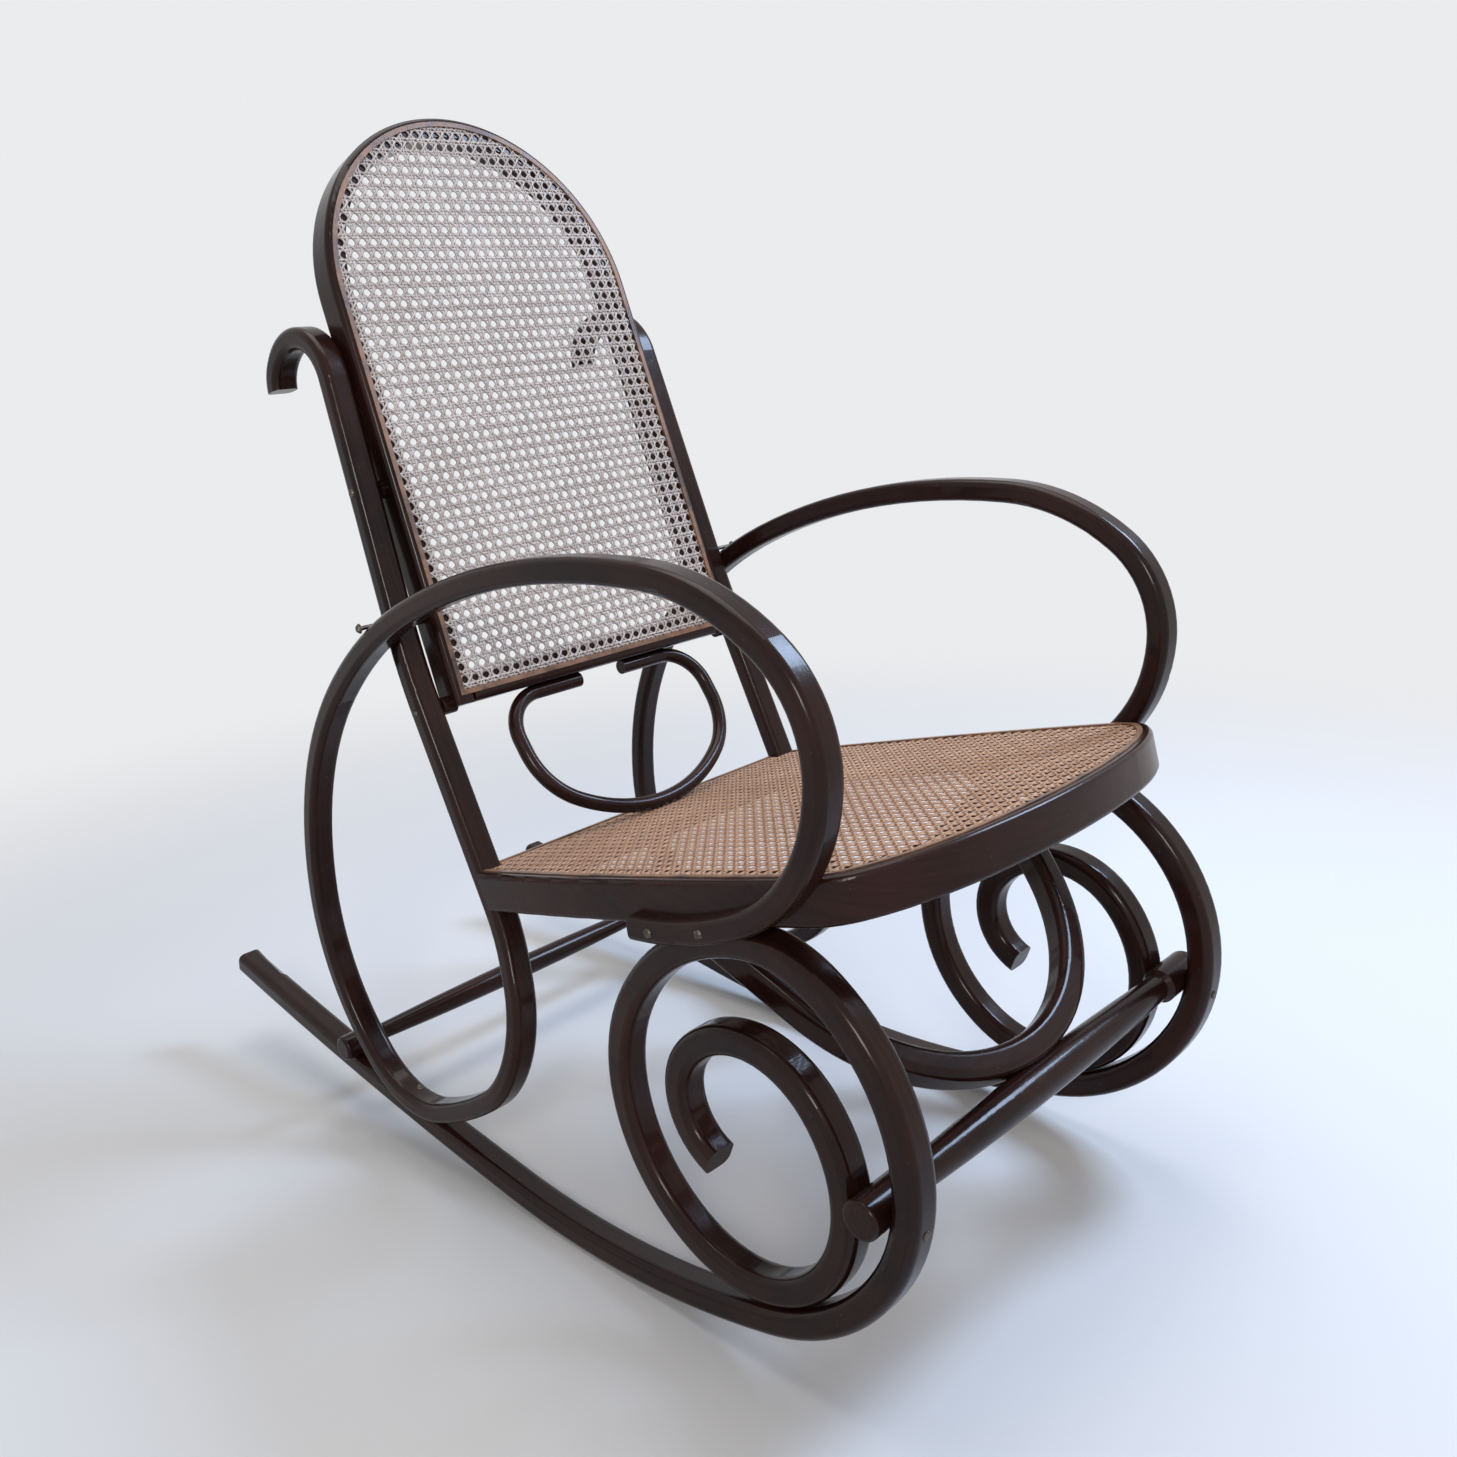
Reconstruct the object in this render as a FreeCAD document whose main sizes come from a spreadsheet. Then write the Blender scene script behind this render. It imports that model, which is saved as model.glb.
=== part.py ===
"""Bentwood rocking chair with a caned back and seat: a parametric FreeCAD document.

The side frames are chains of tangent arcs in an upright plane and every other piece is
placed from those chains.  Drawing frame: +X to the sitter's left, +Y to the rear, +Z up.
"""
import FreeCAD, Part
import math
import os

import Sketcher
from FreeCAD import Placement, Rotation, Vector

doc = FreeCAD.newDocument("rocking_chair")

# ---------------------------------------------------------------------------
# Sizes (millimetres and degrees)
# ---------------------------------------------------------------------------
SIZES = [
    ("tilt", -0.23, "turn of the drawing about X that brings the balance over the floor contact"),
    ("bite", 0.5, "depth to which a rounded rod is flattened where it bears on another piece"),
    ("arm_plane", 245.0, "middle of the arm strand from the middle of the chair"),
    ("runner_plane", 233.0, "middle of the runner from the middle of the chair"),
    ("runner_width", 30.0, "runner rod across the chair"),
    ("runner_depth", 26.6, "runner rod in the plane of its bend"),
    ("arm_width", 28.0, "arm rod across the chair"),
    ("arm_depth", 22.0, "arm rod in the plane of its bend"),
    ("rod_round", 8.0, "rounding of the long edges of runners and brace"),
    ("arm_round", 7.0, "rounding of the long edges of the arm rods"),
    # runner and scroll, from the rear end of the runner to the tip of the scroll
    ("tail_y", 682.0, "rear end of the runner"),
    ("tail_z", 103.0, ""),
    ("tail_heading", 192.1, "direction of the runner at its rear end"),
    ("tail_radius", 5880.0, "runner behind the seat"),
    ("tail_turn", 5.6, ""),
    ("rocker_radius", 916.0, "runner where it meets the floor"),
    ("rocker_turn", 22.4, ""),
    ("toe_radius", 221.0, "runner curling up at the front"),
    ("toe_turn", 45.0, ""),
    ("front_radius", 170.0, "front of the scroll"),
    ("front_turn", 88.7, ""),
    ("crest_radius", 106.0, "top of the scroll"),
    ("crest_turn", 38.0, ""),
    ("shoulder_radius", 197.0, "scroll where it bears under the seat"),
    ("shoulder_turn", 55.1, ""),
    ("nape_radius", 150.8, "rear of the scroll"),
    ("nape_turn", 86.0, ""),
    ("cup_radius", 121.0, "inner turn where it lies along the runner"),
    ("cup_turn", 161.0, ""),
    ("roll_radius", 90.0, "top of the inner turn"),
    ("roll_turn", 104.0, ""),
    ("curl_radius", 60.0, "end of the inner turn"),
    ("curl_turn", 103.0, ""),
    # arm, rear sweep, lower loop and back post, from the front end of the arm
    ("loop_stand_y", 288.0, "place of the lower loop on the runner"),
    ("arm_heading", 174.0, "direction of the arm at its front end"),
    ("foot_radius", 392.0, "end of the arm beside the seat rail"),
    ("foot_turn", 19.0, ""),
    ("knee_radius", 150.0, "arm bending up in front"),
    ("knee_turn", 60.9, ""),
    ("hand_radius", 107.0, "front of the arm"),
    ("hand_turn", 57.7, ""),
    ("bow_radius", 222.0, ""),
    ("bow_turn", 33.7, ""),
    ("rest_radius", 774.0, "arm rest"),
    ("rest_turn", 25.3, ""),
    ("fall_radius", 489.0, "arm behind the post"),
    ("fall_turn", 20.9, ""),
    ("sweep_radius", 356.0, "rear sweep"),
    ("sweep_turn", 44.7, ""),
    ("low_radius", 245.0, "rear sweep coming down to the runner"),
    ("low_turn", 46.9, ""),
    ("loop_radius", 114.0, "lower loop where it stands on the runner"),
    ("loop_turn", 64.9, ""),
    ("rise_radius", 443.0, ""),
    ("rise_turn", 14.7, ""),
    ("throat_radius", 113.0, "front of the lower loop"),
    ("throat_turn", 79.0, ""),
    ("step_gap", 0.4, "air between post and arm where they cross"),
    ("throat_lean", 12.0, "front of the lower loop turned inwards"),
    ("step_radius", 300.0, "post turning back to upright inside the arm"),
    ("post_low_length", 203.0, "post under the bend"),
    ("post_bend_radius", 800.0, "slight bend of the post"),
    ("post_bend_turn", 6.7, ""),
    ("post_bend_lean", 22.0, "share of the bend that goes inwards, as an angle"),
    ("post_length", 244.0, "straight post beside the back"),
    ("top_radius", 57.0, "curl on top of the post"),
    ("top_turn", 134.8, ""),
    ("hook_radius", 30.0, "end of the curl"),
    ("hook_turn", 40.0, ""),
    # seat
    ("seat_slope", 12.8, "seat rising to the front"),
    ("seat_rear_y", 147.0, "rear edge of the seat"),
    ("seat_rear_half", 234.0, "half the width of the seat at the rear"),
    ("seat_rail_width", 34.0, "seat rail seen from above"),
    ("seat_rail_depth", 38.0, "height of the seat rail"),
    ("seat_rail_round", 5.0, ""),
    ("seat_flare", 4.77, "outward direction of the side rail at the rear"),
    ("side_radius", 3249.0, "bowed side of the seat"),
    ("side_turn", 8.08, ""),
    ("ear_radius", 60.0, "front corner of the seat"),
    ("ear_turn", 46.7, ""),
    ("cheek_radius", 140.0, ""),
    ("cheek_turn", 16.0, ""),
    ("brow_radius", 300.0, ""),
    ("brow_turn", 14.0, ""),
    ("lip_radius", 668.0, "front of the seat"),
    ("spline_width", 5.0, "bead that holds the cane in its groove"),
    ("spline_depth", 7.0, ""),
    ("spline_proud", 1.0, "bead above the frame"),
    ("seat_spline_inset", 9.0, "frame left outside the bead of the seat"),
    ("rail_gap", 0.1, "glue line at the ends of the straight rails"),
    ("back_half", 193.6, "half the width of the back frame at its foot"),
    ("spacer_radius", 9.0, "wooden spacer between post and back frame"),
    ("spacer_gap", 0.8, "air left at the post for its lean"),
    ("spacer_blank_length", 16.0, "spacer before it is cut to the back frame"),
    ("cane_thick", 2.4, "woven cane"),
    # back panel
    ("back_recline", 18.0, "lean of the back"),
    ("back_foot_y", 177.2, "lower front edge of the back frame"),
    ("back_foot_z", 508.8, ""),
    ("back_frame_width", 22.0, "back frame seen from the front"),
    ("back_frame_depth", 36.0, "thickness of the back frame"),
    ("back_frame_round", 6.0, ""),
    ("back_side_length", 418.0, "straight side of the back frame"),
    ("back_taper", 0.8, "inward lean of each side of the back"),
    ("back_spline_inset", 6.0, "frame left outside the bead"),
    ("back_rail_inset", 9.0, "frame left below the bead"),
    ("back_rail_height", 27.0, "bottom rail of the back"),
    # stretchers and braces
    ("front_end_radius", 17.0, "end of the front stretcher between the strands of the scroll"),
    ("front_end_out", 27.0, "front stretcher end beyond the middle of the runner"),
    ("front_rod_radius", 12.5, "thin part of the front stretcher"),
    ("front_mid_radius", 17.0, "middle of the front stretcher"),
    ("rear_end_radius", 14.5, "end of the rear stretcher on top of the runner"),
    ("rear_stretcher_y", 410.0, "place of the rear stretcher on the runner"),
    ("rear_end_out", 27.0, ""),
    ("rear_rod_radius", 9.5, ""),
    ("rear_mid_radius", 13.5, ""),
    ("front_shoulder", 28.0, "thick end of the front stretcher inside the runner's middle"),
    ("rear_shoulder", 22.0, "thick end of the rear stretcher inside the runner's middle"),
    ("neck", 5.0, "slope from the thick end of a stretcher to its rod"),
    ("end_round", 4.0, "rounding of a stretcher's end"),
    ("brace_width", 30.0, "hoop brace under the seat, across its bend"),
    ("brace_depth", 27.0, "hoop brace in the plane of its bend"),
    ("brace_bow", 190.0, "bend of the hoop brace"),
    ("brace_bow_turn", 144.0, ""),
    ("brace_leg", 125.0, "straight leg of the hoop brace before it is trimmed"),
    ("brace_pitch", 41.2, "slope of the hoop brace to the rear"),
    ("brace_lap", 4.0, "hoop brace let into the front stretcher"),
    ("deco_radius", 7.8, "small loop under the back"),
    ("deco_pitch", 56.3, "slope of the small loop"),
    ("deco_gap_half", 30.0, "half the opening between the ends of the small loop"),
    ("deco_end", 58.0, "end of the small loop along the bottom rail"),
    ("deco_corner", 45.0, ""),
    ("deco_corner_turn", 90.0, ""),
    ("deco_leg", 14.0, ""),
    ("deco_side", 78.0, ""),
    ("deco_side_turn", 55.0, ""),
    ("screw_radius", 2.2, "shank of a wood screw"),
    ("head_radius", 5.0, "head of a wood screw"),
    ("head_top_radius", 3.4, ""),
    ("head_height", 2.4, ""),
    ("head_sunk", 0.8, "head let into the wood"),
    ("arm_screw_first", 26.0, "first screw from the front end of the arm"),
    ("arm_screw_second", 88.0, "second screw from the front end of the arm"),
    ("arm_screw_length", 42.0, ""),
    ("crossing_screw_length", 76.0, "through arm and post into the back frame"),
    ("back_screw_low", 40.0, "height of the lower screw above the foot of the back"),
    ("back_screw_high", 225.0, ""),
    ("back_screw_length", 46.0, ""),
    ("loop_screw_length", 42.0, ""),
    ("scroll_screw_inset", 8.0, "screw of the scroll inside the middle of the runner"),
    ("scroll_screw_length", 44.0, ""),
    ("stretcher_screw_length", 46.0, ""),
    ("brace_screw_length", 40.0, ""),
    ("dowel_radius", 4.0, ""),
    ("dowel_length", 30.0, ""),
    ("dowel_pitch", 14.0, "distance between the two dowels of the seat joint"),
    ("seat_dowel_depth", 14.0, "upper dowel below the top of the seat frame"),
    ("back_dowel_pitch", 10.0, "distance between the two dowels of the back joint"),
    ("back_dowel_depth", 13.0, "front dowel behind the face of the back frame"),
]

sheet = doc.addObject("Spreadsheet::Sheet", "sizes")
for row, (alias, value, note) in enumerate(SIZES, start=1):
    sheet.set("A%d" % row, alias)
    sheet.set("B%d" % row, str(value))
    sheet.set("C%d" % row, note)
    sheet.setAlias("B%d" % row, alias)
doc.recompute()


class Size:
    """A number together with the expression that gives it from the sheet."""

    def __init__(self, value, text):
        self.value = value
        self.text = text

    def __add__(self, other):
        other = sized(other)
        return Size(self.value + other.value, "(%s + %s)" % (self.text, other.text))

    def __sub__(self, other):
        other = sized(other)
        return Size(self.value - other.value, "(%s - %s)" % (self.text, other.text))

    def __mul__(self, other):
        other = sized(other)
        return Size(self.value * other.value, "(%s * %s)" % (self.text, other.text))

    def __truediv__(self, other):
        other = sized(other)
        return Size(self.value / other.value, "(%s / %s)" % (self.text, other.text))


def sized(thing):
    """A Size from a sheet alias or a plain number."""
    if isinstance(thing, Size):
        return thing
    if isinstance(thing, str):
        return Size(float(sheet.get(thing)), "sizes." + thing)
    return Size(float(thing), "%.6f" % thing)


def num(thing):
    return sized(thing).value


def sine(degrees):
    return math.sin(math.radians(degrees))


def cosine(degrees):
    return math.cos(math.radians(degrees))


# ---------------------------------------------------------------------------
# Chains of tangent arcs and lines
# ---------------------------------------------------------------------------
def line(length):
    return ("line", sized(length), None, 0)


def arc(radius, turn, side):
    """Arc turning to the left (side = 1) or to the right (side = -1)."""
    return ("arc", sized(radius), sized(turn), side)


def walk(chain, start=(0.0, 0.0), heading=0.0):
    """Places of the pieces of a chain laid down from a start point and a heading."""
    px, py = start
    steps = []
    for kind, first, turn, side in chain:
        if kind == "line":
            qx = px + first.value * cosine(heading)
            qy = py + first.value * sine(heading)
            steps.append(dict(kind=kind, a=(px, py), b=(qx, qy), h0=heading, h1=heading,
                              c=None, r=0.0, side=0))
            px, py = qx, qy
            continue
        radius = first.value
        cx = px - side * radius * sine(heading)
        cy = py + side * radius * cosine(heading)
        after = heading + side * turn.value
        qx = cx + side * radius * sine(after)
        qy = cy - side * radius * cosine(after)
        steps.append(dict(kind=kind, a=(px, py), b=(qx, qy), h0=heading, h1=after,
                          c=(cx, cy), r=radius, side=side))
        px, py, heading = qx, qy, after
    return steps


def at_heading(step, heading):
    """Point of an arc step where it runs in the given direction."""
    cx, cy = step["c"]
    return (cx + step["side"] * step["r"] * sine(heading),
            cy - step["side"] * step["r"] * cosine(heading))


def circles_meet(c1, r1, c2, r2, pick):
    """The crossing of two circles for which pick(point) is the largest."""
    dx, dy = c2[0] - c1[0], c2[1] - c1[1]
    gap = math.hypot(dx, dy)
    along = (r1 * r1 - r2 * r2 + gap * gap) / (2 * gap)
    across = math.sqrt(max(r1 * r1 - along * along, 0.0))
    mx, my = c1[0] + along * dx / gap, c1[1] + along * dy / gap
    found = [(mx - k * across * dy / gap, my + k * across * dx / gap) for k in (1, -1)]
    return max(found, key=pick)


# ---------------------------------------------------------------------------
# Sketch and body helpers
# ---------------------------------------------------------------------------
def origin_plane(body, role):
    for item in body.Origin.OriginFeatures:
        if item.Role == role:
            return item
    raise RuntimeError("no plane " + role)


def new_body(label):
    body = doc.addObject("PartDesign::Body", label)
    body.Label = label
    return body


def new_sketch(body, name, role):
    sketch = body.newObject("Sketcher::SketchObject", name)
    sketch.AttachmentSupport = [(origin_plane(body, role), "")]
    sketch.MapMode = "FlatFace"
    return sketch


def bind(sketch, index, quantity):
    sketch.setExpression("Constraints[%d]" % index, quantity.text)


def dimension(sketch, quantity, kind, *where):
    index = sketch.addConstraint(Sketcher.Constraint(kind, *where, quantity.value))
    bind(sketch, index, quantity)
    return index


def chain_sketch(body, name, chain):
    """Spine in the body's XY plane that leaves the origin along +X."""
    sketch = new_sketch(body, name, "XY_Plane")
    joints = []
    for step in walk(chain):
        if step["kind"] == "line":
            piece = Part.LineSegment(Vector(*step["a"], 0), Vector(*step["b"], 0))
            sketch.addGeometry(piece, False)
            joints.append((1, 2))
            continue
        low, high = sorted((step["h0"], step["h1"]))
        turn0 = math.radians(low - 90.0 * step["side"])
        turn1 = math.radians(high - 90.0 * step["side"])
        circle = Part.Circle(Vector(*step["c"], 0), Vector(0, 0, 1), step["r"])
        sketch.addGeometry(Part.ArcOfCircle(circle, turn0, turn1), False)
        joints.append((1, 2) if step["side"] > 0 else (2, 1))
    sketch.addConstraint(Sketcher.Constraint("Coincident", 0, joints[0][0], -1, 1))
    for index in range(1, len(chain)):
        before = joints[index - 1][1]
        after = joints[index][0]
        sketch.addConstraint(Sketcher.Constraint("Tangent", index - 1, before, index, after))
    if chain[0][0] == "line":
        sketch.addConstraint(Sketcher.Constraint("Horizontal", 0))
    else:
        sketch.addConstraint(Sketcher.Constraint("PointOnObject", 0, 3, -2))
    for index, (kind, first, turn, side) in enumerate(chain):
        if kind == "line":
            dimension(sketch, first, "Distance", index)
        else:
            dimension(sketch, first, "Radius", index)
            bind(sketch, sketch.addConstraint(Sketcher.Constraint(
                "Angle", index, math.radians(turn.value))), turn)
    return sketch


def plain_section(body, name, depth, width, role):
    """Rectangle about the sketch's origin."""
    depth, width = sized(depth), sized(width)
    sketch = new_sketch(body, name, role)
    a, b = depth.value / 2, width.value / 2
    corners = [(-a, -b), (a, -b), (a, b), (-a, b)]
    for k in range(4):
        piece = Part.LineSegment(Vector(*corners[k], 0), Vector(*corners[(k + 1) % 4], 0))
        sketch.addGeometry(piece, False)
    for k in range(4):
        sketch.addConstraint(Sketcher.Constraint("Coincident", k, 2, (k + 1) % 4, 1))
    for k, kind in enumerate(("Horizontal", "Vertical", "Horizontal", "Vertical")):
        sketch.addConstraint(Sketcher.Constraint(kind, k))
    sketch.addConstraint(Sketcher.Constraint("Symmetric", 0, 1, 2, 1, -1, 1))
    dimension(sketch, depth, "DistanceX", 0, 1, 0, 2)
    dimension(sketch, width, "DistanceY", 1, 1, 1, 2)
    return sketch


def box_section(body, name, depth, width, rounding, role="YZ_Plane", off=(0.0, 0.0)):
    """Rounded rectangle; depth lies in the plane of the bend and width across it."""
    if rounding is None:
        return plain_section(body, name, depth, width, role)
    depth, width, rounding = sized(depth), sized(width), sized(rounding)
    dx, dy = sized(off[0]), sized(off[1])
    sketch = new_sketch(body, name, role)
    a, b, r = depth.value / 2, width.value / 2, rounding.value
    cx, cy = dx.value, dy.value
    corners = [(a - r, b - r, 0), (r - a, b - r, 90), (r - a, r - b, 180), (a - r, r - b, 270)]
    for x, y, turn in corners:
        circle = Part.Circle(Vector(cx + x, cy + y, 0), Vector(0, 0, 1), r)
        piece = Part.ArcOfCircle(circle, math.radians(turn), math.radians(turn + 90))
        sketch.addGeometry(piece, False)
    ends = [((a - r, b), (r - a, b)), ((-a, b - r), (-a, r - b)),
            ((r - a, -b), (a - r, -b)), ((a, r - b), (a, b - r))]
    for (x0, y0), (x1, y1) in ends:
        segment = Part.LineSegment(Vector(cx + x0, cy + y0, 0), Vector(cx + x1, cy + y1, 0))
        sketch.addGeometry(segment, False)
    for k in range(4):
        sketch.addConstraint(Sketcher.Constraint("Tangent", k, 2, 4 + k, 1))
        sketch.addConstraint(Sketcher.Constraint("Tangent", 4 + k, 2, (k + 1) % 4, 1))
    for k in (4, 6):
        sketch.addConstraint(Sketcher.Constraint("Horizontal", k))
    for k in (5, 7):
        sketch.addConstraint(Sketcher.Constraint("Vertical", k))
    for k in (1, 2, 3):
        sketch.addConstraint(Sketcher.Constraint("Equal", 0, k))
    dimension(sketch, rounding, "Radius", 0)
    flat_x = depth - rounding * 2
    flat_y = width - rounding * 2
    dimension(sketch, flat_x, "DistanceX", 2, 3, 3, 3)
    dimension(sketch, flat_y, "DistanceY", 2, 3, 1, 3)
    dimension(sketch, dx - flat_x / 2, "DistanceX", -1, 1, 2, 3)
    dimension(sketch, dy - flat_y / 2, "DistanceY", -1, 1, 2, 3)
    return sketch


def bent_rod(label, chain, depth, width, rounding, off=(0.0, 0.0)):
    """A rod of rounded rectangular section bent along a chain."""
    body = new_body(label)
    spine = chain_sketch(body, label + "_spine", chain)
    section = box_section(body, label + "_section", depth, width, rounding, off=off)
    doc.recompute()
    pipe = body.newObject("PartDesign::AdditivePipe", label + "_pipe")
    pipe.Profile = section
    pipe.Spine = (spine, ["Edge%d" % (k + 1) for k in range(len(chain))])
    pipe.Mode = "Standard"
    pipe.Transition = "Transformed"
    body.Tip = pipe
    doc.recompute()
    return body


def round_rod(label, chain, radius):
    body = new_body(label)
    spine = chain_sketch(body, label + "_spine", chain)
    section = new_sketch(body, label + "_section", "YZ_Plane")
    section.addGeometry(Part.Circle(Vector(0, 0, 0), Vector(0, 0, 1), num(radius)), False)
    section.addConstraint(Sketcher.Constraint("Coincident", 0, 3, -1, 1))
    dimension(section, sized(radius), "Radius", 0)
    doc.recompute()
    pipe = body.newObject("PartDesign::AdditivePipe", label + "_pipe")
    pipe.Profile = section
    pipe.Spine = (spine, ["Edge%d" % (k + 1) for k in range(len(chain))])
    body.Tip = pipe
    doc.recompute()
    return body


# ---------------------------------------------------------------------------
# Frames of reference
# ---------------------------------------------------------------------------
def frame(origin, along, up):
    """Placement with local X along one direction and local Z along another."""
    side = up.cross(along)
    return Placement(origin, Rotation(along, side, up, "ZXY"))


def upright(x, y, z, heading):
    """Frame whose XY plane is upright, fore and aft, with X in the given direction."""
    return frame(Vector(x, y, z), Vector(0, cosine(heading), sine(heading)), Vector(1, 0, 0))


def put(thing, placement):
    thing.Placement = REST.multiply(placement)


SIDES = (("right", -1), ("left", 1))

SPIRAL = [
    arc("tail_radius", "tail_turn", -1),
    arc("rocker_radius", "rocker_turn", -1),
    arc("toe_radius", "toe_turn", -1),
    arc("front_radius", "front_turn", -1),
    arc("crest_radius", "crest_turn", -1),
    arc("shoulder_radius", "shoulder_turn", -1),
    arc("nape_radius", "nape_turn", -1),
    arc("cup_radius", "cup_turn", -1),
    arc("roll_radius", "roll_turn", -1),
    arc("curl_radius", "curl_turn", -1),
]
TAIL, ROCKER, TOE, FRONT, CREST, SHOULDER, NAPE, CUP, ROLL, CURL = walk(
    SPIRAL, (num("tail_y"), num("tail_z")), num("tail_heading"))

# The tilt turns the whole drawing; the floor then touches the lowest point of the runner.
tilt = num("tilt")
rocker_y, rocker_z = ROCKER["c"]
lowest = rocker_y * sine(tilt) + rocker_z * cosine(tilt) - ROCKER["r"] - num("runner_depth") / 2
TURN = Placement(Vector(0, 0, -lowest), Rotation(Vector(1, 0, 0), tilt))


def turned(y, z):
    return TURN.multVec(Vector(0, y, z))


# The origin lies below the middle of the box round the chair.
tail_back = turned(num("tail_y"), num("tail_z")).y
front_centre = turned(*FRONT["c"]).y
front_out = front_centre - FRONT["r"] - num("runner_depth") / 2
tail_corner = turned(
    num("tail_y") - num("runner_depth") / 2 * sine(num("tail_heading")),
    num("tail_z") + num("runner_depth") / 2 * cosine(num("tail_heading"))).y
REST = Placement(Vector(0, -(front_out + tail_corner) / 2, 0), Rotation()).multiply(TURN)

# ---------------------------------------------------------------------------
# Runner and scroll: one rod a side
# ---------------------------------------------------------------------------
blanks = {}
for name, sign in SIDES:
    body = bent_rod("runner_blank_" + name, SPIRAL, "runner_depth", "runner_width", "rod_round")
    put(body, upright(sign * num("runner_plane"), num("tail_y"), num("tail_z"),
                      num("tail_heading")))
    blanks["runner_" + name] = body


# ---------------------------------------------------------------------------
# Arm, rear sweep, lower loop and back post: one rod a side, bent in two planes
# ---------------------------------------------------------------------------
ARM = [
    arc("foot_radius", "foot_turn", -1),
    arc("knee_radius", "knee_turn", -1),
    arc("hand_radius", "hand_turn", -1),
    arc("bow_radius", "bow_turn", -1),
    arc("rest_radius", "rest_turn", -1),
    arc("fall_radius", "fall_turn", -1),
    arc("sweep_radius", "sweep_turn", -1),
    arc("low_radius", "low_turn", -1),
    arc("loop_radius", "loop_turn", -1),
    arc("rise_radius", "rise_turn", -1),
    arc("throat_radius", "throat_turn", -1),
]
# The loop stands on the runner: the two centre lines are parallel there and a rod apart.
runner_place = None
for step in (TAIL, ROCKER):
    cy, cz = step["c"]
    lean = math.degrees(math.asin((num("loop_stand_y") - cy) / step["r"]))
    if min(step["h0"], step["h1"]) <= 180.0 + lean <= max(step["h0"], step["h1"]):
        runner_place = at_heading(step, 180.0 + lean)
        runner_slope = lean
stand_off = num("runner_depth") / 2 + num("arm_depth") / 2 - num("bite")
stand_y = runner_place[0] - stand_off * sine(runner_slope)
stand_z = runner_place[1] + stand_off * cosine(runner_slope)
free = walk(ARM, (0.0, 0.0), num("arm_heading"))
loop_point = at_heading(free[8], runner_slope - 180.0)
arm_start = (stand_y - loop_point[0], stand_z - loop_point[1])
arm_steps = walk(ARM, arm_start, num("arm_heading"))
FOOT, KNEE, HAND, BOW, ARMREST, FALL, SWEEP, LOW, LOOP, RISE, THROAT = arm_steps


def points_of(step, count):
    """Points along an arc step of a chain."""
    return [at_heading(step, step["h0"] + (step["h1"] - step["h0"]) * k / count)
            for k in range(count + 1)]


def strand(sign):
    """Edges of an arm strand in space, and two straight parts of its post."""
    x = sign * num("arm_plane")
    edges = []
    for step in arm_steps[:-1]:
        middle = at_heading(step, (step["h0"] + step["h1"]) / 2)
        edges.append(Part.Arc(Vector(x, *step["a"]), Vector(x, *middle),
                              Vector(x, *step["b"])).toShape())

    def swing(place, ahead, side, radius, turn):
        """Arc that turns the direction towards a side vector."""
        stops = []
        for part in (turn / 2, turn):
            stops.append(place + ahead * (radius * sine(part))
                         + side * (radius * (1 - cosine(part))))
        edges.append(Part.Arc(place, *stops).toShape())
        return (stops[1], ahead * cosine(turn) + side * sine(turn),
                side * cosine(turn) - ahead * sine(turn))

    def straight(place, ahead, length):
        end = place + ahead * length
        edges.append(Part.LineSegment(place, end).toShape())
        return end

    # the front of the lower loop leans inwards, so that the post passes inside the arm
    place = Vector(x, *RISE["b"])
    ahead = Vector(0, cosine(RISE["h1"]), sine(RISE["h1"]))
    right = Vector(0, ahead.z, -ahead.y)
    lean = num("throat_lean")
    side = right * cosine(lean) - Vector(sign, 0, 0) * sine(lean)
    place, ahead, side = swing(place, ahead, side, num("throat_radius"), num("throat_turn"))
    back = math.degrees(math.asin(abs(ahead.x)))
    offset = num("arm_width") + num("step_gap")
    left = offset - abs(x - place.x) - num("step_radius") * (1 - cosine(back))
    place = straight(place, ahead, left / sine(back))
    outward = Vector(sign, 0, 0) - ahead * (ahead.x * sign)
    outward.normalize()
    place, ahead, side = swing(place, ahead, outward, num("step_radius"), back)
    low = (place, straight(place, ahead, num("post_low_length")))
    # the bend makes the post steeper and lets it lean in along the back frame
    lean = num("post_bend_lean")
    side = Vector(0, -ahead.z, ahead.y) * cosine(lean) - Vector(sign, 0, 0) * sine(lean)
    place, ahead, side = swing(low[1], ahead, side, num("post_bend_radius"),
                               num("post_bend_turn"))
    high = (place, straight(place, ahead, num("post_length")))
    # the curl on top lies in an upright plane along the post
    side = Vector(0, ahead.z, -ahead.y)
    side.normalize()
    place, ahead, side = swing(high[1], ahead, side, num("top_radius"), num("top_turn"))
    swing(place, ahead, side, num("hook_radius"), num("hook_turn"))
    return edges, low, high


def rounded_wire(centre, u, v, width_u, width_v, rounding):
    """Rounded rectangle about a centre with its sides along u and v."""
    a, b, r = width_u / 2, width_v / 2, rounding
    pieces = []
    marks = [(a - r, b - r), (r - a, b - r), (r - a, r - b), (a - r, r - b)]
    for k, (x, y) in enumerate(marks):
        arms = [(cosine(t) * r, sine(t) * r) for t in (90 * k, 90 * k + 45, 90 * k + 90)]
        points = [centre + u * (x + dx) + v * (y + dy) for dx, dy in arms]
        pieces.append(Part.Arc(*points).toShape())
        nx, ny = marks[(k + 1) % 4]
        turn = 90 * k + 90
        first = centre + u * (x + cosine(turn) * r) + v * (y + sine(turn) * r)
        second = centre + u * (nx + cosine(turn) * r) + v * (ny + sine(turn) * r)
        pieces.append(Part.LineSegment(first, second).toShape())
    return Part.Wire(pieces)


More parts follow.
